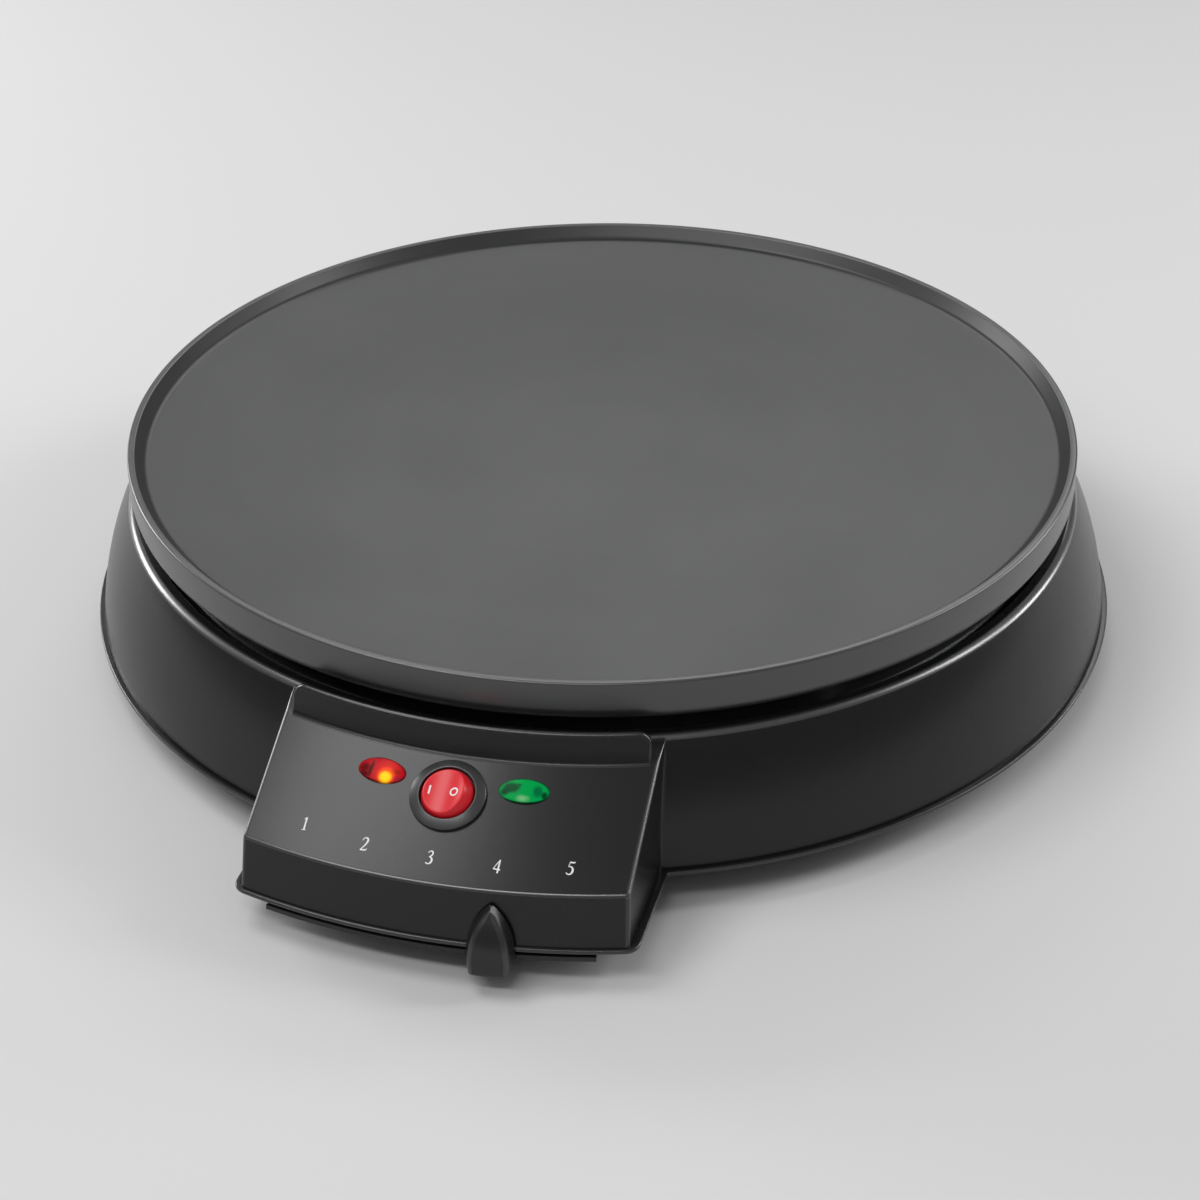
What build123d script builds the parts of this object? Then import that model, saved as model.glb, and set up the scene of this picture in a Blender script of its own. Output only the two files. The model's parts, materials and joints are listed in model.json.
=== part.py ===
from build123d import *
import math
import os

# Electric crepe maker: a cast hotplate on a flared plastic base, with a sloping control box at the front.
# All sizes are in millimetres. +Z is the plate's axis, Z = 0 is the table and -Y is the front.
# Angles around the plate are counted from the front, positive towards +X.

# ---- heights, from the table up ----
foot_height = 10.0  # table to the underside of the bottom cover
cover_thickness = 2.0
skirt_height = 40.7  # lip to the crest of the skirt's shoulder
plate_gap = 3.8  # shoulder crest to the plate's lower edge
plate_height = 14.2  # plate's lower edge to its rim

# ---- hotplate ----
plate_radius = 155.0
rim_width = 2.3
rim_depth = 4.0  # rim down to the cooking surface
rim_run = 3.2  # how far the rim's inner wall leans in
plate_thickness = 5.5
edge_fillet = 5.5  # round lower edge of the plate's side
edge_wall = 8.0  # thickness of the plate's hanging edge

# ---- base skirt ----
lip_radius = 169.2
lip_thickness = 1.4
skirt_base_radius = 167.6
shoulder_radius = 155.5
skirt_bulge = 2.3  # how far the wall's arc stands out from its chord
shoulder_fillet = 2.2
recess_radius = 151.0  # wall of the recess that the plate's edge hangs in
recess_depth = 5.2
recess_edge = 0.8  # chamfer at its mouth
wall = 2.5
deck_opening_radius = 122.0

# ---- control box ----
box_front_radius = 203.1  # front face at the lip
slope_foot_radius = 199.75
slope_foot_height = 17.5  # above the lip, like the heights below
slope_top_radius = 163.5
slope_top_height = 36.75
cheek_half_base = 58.0
cheek_half_top = 56.5
box_edge_fillet = 1.1
box_root_fillet = 2.0  # inner corners where the box grows out of the skirt
box_lip_radius = 204.0
box_lip_half = 60.5
box_lip_corner = 4.0
shield_height = 8.9  # heat shield wall behind the panel
shield_lean = 2.3
shield_thickness = 2.0
shield_half = 54.2
shield_corner = 4.5

# ---- temperature lever ----
slot_height = 1.2
slot_half_angle = 13.5
nose_half_angle = 14.0
nose_radius = 203.6
nose_inner_radius = 168.0
nose_thickness = 1.5
arm_thickness = 0.8
arm_width = 7.5
arm_rise = 3.2  # the arm's inner run above the cover
crank_length = 6.0
spindle_radius = 3.0
hub_radius = 7.5
hub_height = 9.0
lever_angle = 5.6  # where the lever stands
knob_gap = 0.6  # knob to the box's lip
knob_depth = 4.6
knob_half_width = 7.2  # at its back
knob_draft = 17.0  # how its sides close in towards the front, in degrees
knob_edge_fillet = 0.8
knob_bottom = 6.7
knob_tip = 26.4
knob_tip_round = 1.2

# ---- panel fittings, placed by angle around the plate and distance down the slope ----
lens_width = 15.0
lens_height = 7.7
lens_dome = 0.9
lens_flange = 1.6
lens_angle = 7.1
lens_drop = 9.4
switch_drop = 13.35
bezel_radius = 11.2
bezel_edge = 1.0
bezel_height = 2.4
bezel_mouth_radius = 8.0
barrel_radius = 10.0
barrel_depth = 14.0
rocker_radius = 7.9
rocker_gap = 0.4  # between the rocker and its barrel
rocker_pivot_depth = 0.6
rocker_rim_height = 4.4
rocker_dish = 15.5  # radius of the rocker's dished top
rocker_tilt = 9.0  # each way from the middle
trunnion_radius = 1.5
tab_width = 4.8
tab_thickness = 0.8
tab_length = 7.0
switch_tab_x = (-6.0, 0.0, 6.0)
lamp_radius = 3.0
lamp_length = 11.0

# ---- heating ----
tube_radius = 3.3
outer_ring_radius = 115.0
inner_ring_radius = 62.0
ring_start_angle = 110.0  # counted from +X, as the two arcs below
ring_turn_angle = 70.0
leg_bend = 9.0
leg_length = 12.0
insulator_radius = 4.0
insulator_length = 5.0
pin_radius = 1.5
pin_length = 12.0
clamp_angles = (30.0, 150.0, 210.0, 330.0)
clamp_overhang = 7.0  # clamp bar beyond each ring's centre line
clamp_width = 11.0
clamp_thickness = 1.2
pan_thickness = 0.6
pan_flange_radius = 146.0
pan_floor_radius = 104.0
pan_depth = 6.0
pan_hole_radius = 27.0

# ---- thermostat ----
bracket_length = 62.0
bracket_width = 20.0
bracket_thickness = 1.5
thermostat_radius = 14.0
thermostat_height = 14.0
bush_radius = 6.5
bush_height = 2.4  # above the cover

# ---- fastenings ----
plate_bolt_circle = 132.0
plate_bolt_angles = (45.0, 135.0, 225.0, 315.0)
plate_boss_radius = 6.0
standoff_height = 4.0
standoff_radius = 5.0
screw_radius = 2.0
screw_head_radius = 3.8
screw_head_height = 2.6
washer_radius = 5.0
washer_thickness = 0.8
post_circle = 138.0
post_angles = (60.0, 107.0, 155.0, 205.0, 253.0, 300.0)
post_radius = 4.5
box_post_circle = 186.0
box_post_margin = 1.3  # degrees between the nose and the posts in the box
cover_screw_radius = 1.6
cover_screw_length = 12.0
vent_length = 26.0
vent_width = 4.0
vent_circles = (60.0, 75.0, 90.0)
vent_step = 30  # degrees between vents
foot_circle = 140.0
foot_angles = (40.0, 140.0, 220.0, 320.0)
foot_radius = 11.0
foot_taper = 1.5
foot_neck_radius = 4.0

# ---- mains entry and wiring ----
gland_height = 11.0  # axis above the lip
gland_radius = 6.0
gland_flange_radius = 9.0
gland_flange_thickness = 2.5
gland_bore_radius = 3.6
gland_pad_radius = 10.5
gland_pad_rise = 0.4
gland_nut_radius = 8.5
gland_nut_thickness = 4.0
block_circle = 138.0
block_size = (30.0, 16.0, 14.0)
block_pitch = 9.0
block_way_depth = 9.0  # top of the block down to its wire holes
block_screw_radius = 1.5
fuse_radius = 2.2
fuse_length = 15.0
fuse_offset = 34.0  # in front of the plate's axis
fuse_clip_width = 6.0
fuse_clip_thickness = 0.8
fuse_screw_offset = 10.0  # fuse to its clip's screw
wire_radius = 1.3
wire_bend = 4.0
wire_level = 30.0  # height at which the wires cross the base
wire_rise = 7.0  # low wires above the lip
wire_right_lane = 24.0
wire_left_lane = 62.0
wire_front = (100.0, 90.0, 120.0)  # where each lane turns towards the switch

# ---- fits ----
clearance = 0.1  # a loose fit between two fixed pieces
running = 0.05  # radial play of a turning pin
swing = 0.4  # space between pieces that pass each other

# ---- worked out from the sizes above ----
lip_z = foot_height + cover_thickness
crest_z = lip_z + skirt_height
deck_z = crest_z - recess_depth
plate_base_z = crest_z + plate_gap
rim_z = plate_base_z + plate_height
cook_z = rim_z - rim_depth
plate_under_z = cook_z - plate_thickness
slope_foot_z = lip_z + slope_foot_height
slope_top_z = lip_z + slope_top_height
slope_angle = math.atan2(slope_top_z - slope_foot_z, slope_foot_radius - slope_top_radius)
deck_under = deck_z - wall
pan_top_z = deck_z + pan_thickness
box_post_angle = nose_half_angle + box_post_margin
side_plane = Plane(origin=(0, 0, 0), x_dir=(0, -1, 0), z_dir=(-1, 0, 0))  # X to the front, Y up


def spot(radius, angle, z=0.0):
    """A point at a radius and an angle from the front."""
    turn = math.radians(angle)
    return (radius * math.sin(turn), -radius * math.cos(turn), z)


def lathe(*points):
    """A turned solid from (radius, height, corner radius) points."""
    outline = FilletPolyline(*[(r, z) for r, z, _ in points], radius=[f for _, _, f in points], close=True)
    return revolve(Plane.XZ * make_face(outline), Axis.Z)


def tube_of(outer, inner, bottom, top):
    """A straight sleeve around the Z axis."""
    return lathe((inner, bottom, 0), (outer, bottom, 0), (outer, top, 0), (inner, top, 0))


def rod(radius, bottom, top):
    """A plain cylinder between two heights."""
    return Pos(0, 0, (bottom + top) / 2) * Cylinder(radius, top - bottom)


def block(x_range, y_range, z_range):
    """A box from its ranges along X, Y and Z."""
    (x0, x1), (y0, y1), (z0, z1) = x_range, y_range, z_range
    return Pos((x0 + x1) / 2, (y0 + y1) / 2, (z0 + z1) / 2) * Box(x1 - x0, y1 - y0, z1 - z0)


def sector(inner, outer, half_angle, bottom, top):
    """A ring sector centred on the front."""
    left, right = -90 - half_angle, 2 * half_angle
    outer_arc = CenterArc((0, 0), outer, left, right)
    inner_arc = CenterArc((0, 0), inner, left, right)
    sides = [Line(inner_arc @ 0, outer_arc @ 0), Line(inner_arc @ 1, outer_arc @ 1)]
    face = make_face([outer_arc.edge(), inner_arc.edge(), sides[0].edge(), sides[1].edge()])
    return Pos(0, 0, bottom) * extrude(face, top - bottom)


def around(piece, radius, angles):
    """Copies of a piece that stands on the Z axis, moved to a circle, as a list."""
    return [Pos(*spot(radius, angle)) * piece for angle in angles]


def screw(shank_radius, head_radius, head_height, head_bottom, tip_z):
    """A pan-head screw that points up, with a cross slot in its head."""
    seat = head_bottom + head_height
    body = rod(shank_radius, seat, tip_z) + lathe(
        (0, head_bottom, 0), (head_radius, head_bottom, head_height * 0.4),
        (head_radius, seat, 0), (0, seat, 0),
    )
    slot = Box(head_radius * 1.1, head_radius * 0.25, head_height)
    return body - Pos(0, 0, head_bottom) * slot - Pos(0, 0, head_bottom) * Rot(0, 0, 90) * slot


def wall_circle():
    """Centre and radius of the arc that the skirt's wall follows in section."""
    run, rise = shoulder_radius - skirt_base_radius, crest_z - lip_z
    chord = math.hypot(run, rise)
    radius = (chord * chord / 4 + skirt_bulge * skirt_bulge) / (2 * skirt_bulge)
    back = (radius - skirt_bulge) / chord
    middle = ((shoulder_radius + skirt_base_radius) / 2, (crest_z + lip_z) / 2)
    return middle[0] - back * rise, middle[1] + back * run, radius


def wall_radius(z, inset=0.0):
    """Radius of the skirt's wall at a height, or of a surface inside it."""
    centre_r, centre_z, radius = wall_circle()
    return centre_r + math.sqrt((radius - inset) ** 2 - (z - centre_z) ** 2)


def wall_arc(low, high, inset=0.0):
    """The wall's section from one height to another."""
    levels = (low, (low + high) / 2, high)
    return ThreePointArc(*[(wall_radius(z, inset), z) for z in levels])


def panel_plane(angle, drop, lift=0.0):
    """A plane on the sloping panel: X to the right, Y up the slope, Z outwards."""
    lean, down = math.sin(slope_angle), math.cos(slope_angle)
    radius = slope_top_radius + drop * down + lift * lean
    z = slope_top_z - drop * lean + lift * down
    turn = math.radians(angle)
    return Plane(
        origin=spot(radius, angle, z),
        x_dir=(math.cos(turn), math.sin(turn), 0),
        z_dir=(lean * math.sin(turn), -lean * math.cos(turn), down),
    )


def cheek_prism(inset, y_front, y_back, foot_z, top_z):
    """The space between the box's two drafted cheeks."""
    draft = (cheek_half_base - cheek_half_top) / skirt_height
    low = cheek_half_base - inset - draft * (foot_z - lip_z)
    high = cheek_half_base - inset - draft * (top_z - lip_z)
    outline = Polygon((-low, foot_z), (low, foot_z), (high, top_z), (-high, top_z), align=None)
    return extrude(Plane.XZ.offset(y_back) * outline, y_front - y_back)


def front_outline(disc_radius, front_radius, half_width, corner):
    """Plan of the base: a disc with the control box's nose."""
    nose = Circle(front_radius) & Pos(0, -front_radius) * Rectangle(2 * half_width, front_radius)
    corners = nose.vertices().sort_by(Axis.Y)[:2]
    return Circle(disc_radius) + fillet(corners, corner)


# ---- hotplate ----
def make_hotplate():
    inner_edge = plate_radius - edge_wall
    cook_radius = plate_radius - rim_width - rim_run
    plate = lathe(
        (0, plate_under_z, 0),
        (inner_edge, plate_under_z, 1.5),
        (inner_edge, plate_base_z, 1.0),
        (plate_radius, plate_base_z, edge_fillet),
        (plate_radius, rim_z, 0.7),
        (plate_radius - rim_width, rim_z, 0.5),
        (cook_radius, cook_z, 2.0),
        (0, cook_z, 0),
    )
    boss_end = pan_top_z + standoff_height
    boss = rod(plate_boss_radius, boss_end, plate_under_z + 1)
    plate += around(boss, plate_bolt_circle, plate_bolt_angles)
    clamp_circle = (outer_ring_radius + inner_ring_radius) / 2
    plate += around(rod(plate_boss_radius, clamp_top(), plate_under_z + 1), clamp_circle, clamp_angles)
    hole = rod(screw_radius + running, 0, plate_under_z + 2)
    plate -= around(hole, plate_bolt_circle, plate_bolt_angles)
    plate -= around(hole, clamp_circle, clamp_angles)
    bracket_hole = rod(screw_radius + running, 0, plate_under_z + 3.5)
    for x, y in underside_screw_spots():
        plate -= Pos(x, y) * bracket_hole
    return plate


def clamp_top():
    """The clamp bars touch the underside of the heating tube."""
    return plate_under_z - 2 * tube_radius


def underside_screw_spots():
    """Two screws hold the thermostat's bracket and one holds the fuse's clip."""
    x = bracket_length / 2 - bracket_width / 4
    return [(-x, 0), (x, 0), (0, -fuse_offset - fuse_screw_offset)]


# ---- heating ----
def ring_spot(radius, angle, z):
    turn = math.radians(angle)
    return Vector(radius * math.cos(turn), radius * math.sin(turn), z)


def leg_spots():
    """The two ends of the heating tube's rings, each with the direction in which its leg turns down."""
    z = plate_under_z - tube_radius
    turn = math.radians(ring_start_angle)
    back = Vector(math.sin(turn), -math.cos(turn), 0)
    rings = (outer_ring_radius, inner_ring_radius)
    return [(ring_spot(radius, ring_start_angle, z), back) for radius in rings]


def leg_end_z():
    return plate_under_z - tube_radius - leg_bend - leg_length


def make_heating_element():
    (outer_start, back), (inner_start, _) = leg_spots()
    z = outer_start.Z
    around_angle = 360 - (ring_start_angle - ring_turn_angle)
    turn_radius = (outer_ring_radius - inner_ring_radius) / 2
    turn_centre = ring_spot(inner_ring_radius + turn_radius, ring_turn_angle, z)
    down = Vector(0, 0, -1)
    edges = []
    for start in (outer_start, inner_start):
        low = start + back * leg_bend + down * leg_bend
        half = math.sqrt(0.5)
        middle = start + (back * half + down * (1 - half)) * leg_bend
        edges.append(ThreePointArc(low, middle, start))
        edges.append(Line(low + down * leg_length, low))
    level = Plane.XY.offset(z)
    edges.append(level * CenterArc((0, 0), outer_ring_radius, ring_start_angle, around_angle))
    edges.append(level * CenterArc((turn_centre.X, turn_centre.Y), turn_radius, ring_turn_angle, 180))
    edges.append(level * CenterArc((0, 0), inner_ring_radius, ring_start_angle, around_angle))
    path = Wire([edge.edge() for edge in edges])
    foot = outer_start + back * leg_bend + down * (leg_bend + leg_length)
    return sweep(Plane(origin=foot, z_dir=(0, 0, 1)) * Circle(tube_radius), path=path)


def leg_columns():
    """X and Y of the two legs' axes."""
    return [(start + back * leg_bend) for start, back in leg_spots()]


def make_insulators():
    ring = tube_of(insulator_radius, pin_radius + running, leg_end_z() - insulator_length, leg_end_z())
    return [Pos(leg.X, leg.Y) * ring for leg in leg_columns()]


def make_element_pins():
    pin = rod(pin_radius, leg_end_z() - pin_length, leg_end_z())
    return [Pos(leg.X, leg.Y) * pin for leg in leg_columns()]


def make_clamps():
    span = outer_ring_radius - inner_ring_radius + 2 * clamp_overhang
    middle = (outer_ring_radius + inner_ring_radius) / 2
    bar = Pos(0, 0, clamp_top() - clamp_thickness / 2) * Box(clamp_width, span, clamp_thickness)
    bar -= rod(screw_radius + clearance, 0, rim_z)
    return [Rot(0, 0, angle) * Pos(0, -middle) * bar for angle in clamp_angles]


def make_clamp_screws():
    middle = (outer_ring_radius + inner_ring_radius) / 2
    seat = clamp_top() - clamp_thickness
    head = seat - screw_head_height
    piece = screw(screw_radius, screw_head_radius, screw_head_height, head, plate_under_z)
    return around(piece, middle, clamp_angles)


def make_heat_reflector():
    floor_z = deck_z - pan_depth
    t = pan_thickness
    pan = lathe(
        (pan_hole_radius, floor_z, 0),
        (pan_floor_radius, floor_z, 2.0),
        (pan_floor_radius + pan_depth / 2, deck_z, 1.0),
        (pan_flange_radius, deck_z, 0),
        (pan_flange_radius, deck_z + t, 0),
        (pan_floor_radius + pan_depth / 2 - t, deck_z + t, 1.5),
        (pan_floor_radius - t, floor_z + t, 1.5),
        (pan_hole_radius, floor_z + t, 0),
    )
    pan -= around(rod(screw_radius + clearance, 0, rim_z), plate_bolt_circle, plate_bolt_angles)
    for leg in leg_columns():
        pan -= Pos(leg.X, leg.Y) * rod(insulator_radius + 1, 0, rim_z)
    return pan


# ---- plate fastenings ----
def make_standoffs():
    sleeve = tube_of(standoff_radius, screw_radius + clearance, pan_top_z, pan_top_z + standoff_height)
    return around(sleeve, plate_bolt_circle, plate_bolt_angles)


def make_plate_washers():
    top = deck_under
    ring = tube_of(washer_radius, screw_radius + clearance, top - washer_thickness, top)
    return around(ring, plate_bolt_circle, plate_bolt_angles)


def make_plate_screws():
    head = deck_under - washer_thickness - screw_head_height
    piece = screw(screw_radius, screw_head_radius, screw_head_height, head, plate_under_z)
    return around(piece, plate_bolt_circle, plate_bolt_angles)


# ---- thermostat ----
def bracket_bottom():
    return plate_under_z - bracket_thickness


def make_thermostat_bracket():
    z = bracket_bottom() + bracket_thickness / 2
    strap = Pos(0, 0, z) * Box(bracket_length, bracket_width, bracket_thickness)
    strap = fillet(strap.edges().filter_by(Axis.Z), bracket_width / 5)
    for x, y in underside_screw_spots():
        strap -= Pos(x, y) * rod(screw_radius + clearance, 0, rim_z)
    return strap


def make_underside_screws():
    tip = plate_under_z + 3
    seats = (bracket_bottom(), bracket_bottom(), plate_under_z - fuse_clip_thickness)
    return [
        Pos(x, y) * screw(screw_radius, screw_head_radius, screw_head_height, seat - screw_head_height, tip)
        for (x, y), seat in zip(underside_screw_spots(), seats)
    ]


def make_thermostat_body():
    top = bracket_bottom()
    bottom = top - thermostat_height
    body = lathe((0, bottom, 0), (thermostat_radius, bottom, 1.0), (thermostat_radius, top, 0), (0, top, 0))
    body -= rod(spindle_radius + running, 0, spindle_top() + swing)
    return body


def spindle_top():
    return bracket_bottom() - thermostat_height / 3


def make_thermostat_tabs():
    reach = 7.0
    z = bracket_bottom() - thermostat_height * 0.7
    along = (thermostat_radius - 0.5, thermostat_radius + reach)
    tab = block(along, (-tab_width / 2, tab_width / 2), (z, z + tab_thickness))
    tab -= rod(thermostat_radius, 0, rim_z)
    return [Rot(0, 0, angle) * tab for angle in (60, 120)]


def fuse_z():
    return plate_under_z - fuse_clip_thickness - fuse_radius


def make_thermal_fuse():
    lead = Cylinder(0.6, fuse_length + 8)
    return Pos(0, -fuse_offset, fuse_z()) * Rot(0, 90, 0) * (Cylinder(fuse_radius, fuse_length) + lead)


def make_fuse_clip():
    """A strap that wraps the fuse and is screwed to the plate's underside."""
    outer = fuse_radius + fuse_clip_thickness
    ring = Pos(-fuse_offset, fuse_z()) * Circle(outer)
    end = -fuse_offset - fuse_screw_offset - screw_head_radius - 1
    tongue = Polygon(
        (end, plate_under_z - fuse_clip_thickness), (-fuse_offset, plate_under_z - fuse_clip_thickness),
        (-fuse_offset, plate_under_z), (end, plate_under_z), align=None,
    )
    profile = ring + tongue - Pos(-fuse_offset, fuse_z()) * Circle(fuse_radius)
    clip = extrude(Plane.YZ * profile, fuse_clip_width / 2, both=True)
    past_fuse = Pos(0, -fuse_offset, 0) * Box(bracket_length, 2 * outer, 3 * rim_z)
    clip += extrude(Plane.YZ * tongue, screw_head_radius + 0.5, both=True) - past_fuse
    x, y = underside_screw_spots()[2]
    return clip - Pos(x, y) * rod(screw_radius + clearance, 0, rim_z)


# ---- temperature lever ----
def arm_bottom():
    return lip_z + arm_rise


def slot_arm_bottom():
    """The arm runs through the middle of its slot."""
    return lip_z - (slot_height + arm_thickness) / 2


def knob_back():
    return box_lip_radius + knob_gap


def make_spindle():
    return Rot(0, 0, lever_angle) * rod(spindle_radius, lip_z - cover_thickness / 2, spindle_top())


def make_lever_hub():
    bottom = arm_bottom() + arm_thickness
    hub = lathe(
        (spindle_radius + running, bottom, 0),
        (hub_radius, bottom, 0),
        (hub_radius, bottom + hub_height, 0.8),
        (spindle_radius + running, bottom + hub_height, 0),
    )
    hole = Pos(0, 0, bottom + hub_height / 2) * Rot(90, 0, 0) * Cylinder(1.5 + running, 4 * hub_radius)
    return Rot(0, 0, lever_angle) * (hub - hole)


def make_hub_screw():
    z = arm_bottom() + arm_thickness + hub_height / 2
    length = hub_radius - spindle_radius + 1.5
    pin = Pos(0, -(spindle_radius + length / 2), z) * Rot(90, 0, 0) * Cylinder(1.5, length)
    return Rot(0, 0, lever_angle) * pin


def make_lever_arm():
    high, low, t = arm_bottom(), slot_arm_bottom(), arm_thickness
    crank_start = nose_inner_radius + 2
    crank_end = crank_start + crank_length
    reach = knob_back() + knob_depth * 0.4
    side = Polygon(
        (hub_radius, high), (crank_start, high), (crank_end, low), (reach, low),
        (reach, low + t), (crank_end + t / 2, low + t),
        (crank_start + t / 2, high + t), (hub_radius, high + t),
        align=None,
    )
    strip = extrude(side_plane * side, arm_width / 2, both=True)
    eye = tube_of(hub_radius + 2.0, spindle_radius + running, high, high + t)
    return Rot(0, 0, lever_angle) * (strip - rod(hub_radius + 1, 0, rim_z) + eye)


def make_lever_knob():
    """A pointed fin that hugs the front of the box, on the arm's end."""
    back = knob_back()
    front = back + knob_depth
    tip_back = back - (box_front_radius - slope_foot_radius)
    height = knob_tip - knob_bottom
    belly = knob_bottom + 0.55 * height
    tip_front = (tip_back + 1.6, knob_tip)
    section = make_face([
        Line((back, knob_bottom), (front, knob_bottom)).edge(),
        ThreePointArc((front, knob_bottom), (front - 0.2 * knob_depth, belly), tip_front).edge(),
        Line(tip_front, (tip_back, knob_tip)).edge(),
        Line((tip_back, knob_tip), (back, lip_z + lip_thickness + 1)).edge(),
        Line((back, lip_z + lip_thickness + 1), (back, knob_bottom)).edge(),
    ])
    body = extrude(side_plane * section, 2 * knob_half_width, both=True)
    half = knob_half_width + (back - tip_back) * math.tan(math.radians(knob_draft))
    waist, foot, base = knob_bottom + 0.23 * height, 0.88 * half, knob_bottom - knob_depth
    arch = make_face([
        Line((-foot, base), (foot, base)).edge(),
        TangentArc((half, waist), (foot, base), tangent=(0, -1)).edge(),
        TangentArc((half, waist), (0, knob_tip), tangent=(0, 1)).edge(),
        TangentArc((-half, waist), (0, knob_tip), tangent=(0, 1)).edge(),
        TangentArc((-half, waist), (-foot, base), tangent=(0, -1)).edge(),
    ])
    arch = fillet(arch.vertices().sort_by(Axis.Y)[-1], knob_tip_round)
    body &= extrude(Plane.XZ.offset(tip_back) * arch, 2 * knob_depth, taper=knob_draft)
    rim = body.faces().sort_by(Axis.Y)[0].edges()
    body = fillet(rim.filter_by(lambda e: e.center().Z > knob_bottom + 0.5), knob_edge_fillet)
    low = slot_arm_bottom()
    pocket_end = back + knob_depth * 0.4
    half_pocket = arm_width / 2 + running
    across = (-half_pocket, half_pocket)
    pocket = block(across, (-pocket_end, -tip_back + 1), (low - running, low + arm_thickness + running))
    return Rot(0, 0, lever_angle) * (body - pocket)


# ---- base ----
def box_section(bottom):
    """Section of the control box, from the plate's axis side to its front face."""
    lean = (box_front_radius - slope_foot_radius) / slope_foot_height
    return Polygon(
        (shoulder_radius - 30, bottom),
        (box_front_radius + (lip_z - bottom) * lean, bottom),
        (slope_foot_radius, slope_foot_z),
        (slope_top_radius, slope_top_z),
        (shoulder_radius - shoulder_fillet, crest_z),
        (shoulder_radius - 30, crest_z),
        align=None,
    )


def make_box_block():
    """The control box as a filled block, with its edges rounded."""
    body = revolve(Plane.XZ * box_section(lip_z), Axis.Z)
    body &= cheek_prism(0, box_front_radius + 20, shoulder_radius - 25, lip_z - 1, crest_z + 1)
    near = -shoulder_radius + 15
    front = body.edges().filter_by(lambda e: e.center().Y < near and e.center().Z > lip_z + 1)
    rounded = front.filter_by(
        lambda e: abs(e.center().X) > cheek_half_top - 3 or e.center().Z < slope_foot_z + 1
    )
    return fillet(rounded, box_edge_fillet)


def is_box_root(edge):
    """Whether an edge runs up between one of the box's cheeks and the skirt's wall."""
    middle = edge.center()
    on_cheek = cheek_half_top - 3 < abs(middle.X) < cheek_half_base + 1
    on_wall = abs(math.hypot(middle.X, middle.Y) - wall_radius(middle.Z)) < 1
    return on_cheek and on_wall and middle.Y < 0 and edge.length > skirt_height / 2


def make_shield():
    """The low wall that stands between the panel and the plate."""
    foot, head = slope_top_z - 1.5, slope_top_z + shield_height
    lean = shield_lean / shield_height
    face_foot = slope_top_radius + 1.5 * lean
    face_head = slope_top_radius - shield_lean
    edge = shield_thickness * 0.45
    ring = lathe(
        (face_foot - 2 * shield_thickness, foot - 1.5, 0),
        (face_foot, foot, 0),
        (face_head, head, edge),
        (face_head - shield_thickness, head, edge),
        (face_foot - 2 * shield_thickness, foot, 0),
    )
    outline = Polygon(
        (-shield_half, foot - 5), (shield_half, foot - 5), (shield_half, head), (-shield_half, head),
        align=None,
    )
    outline = fillet(outline.vertices().sort_by(Axis.Y)[2:], shield_corner)
    return ring & extrude(Plane.XZ * outline, slope_top_radius + 20)


def post_on(radius, angle, bottom):
    """A screw post, cut later to the inside of the housing."""
    return Pos(*spot(radius, angle)) * rod(post_radius, bottom, crest_z)


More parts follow.
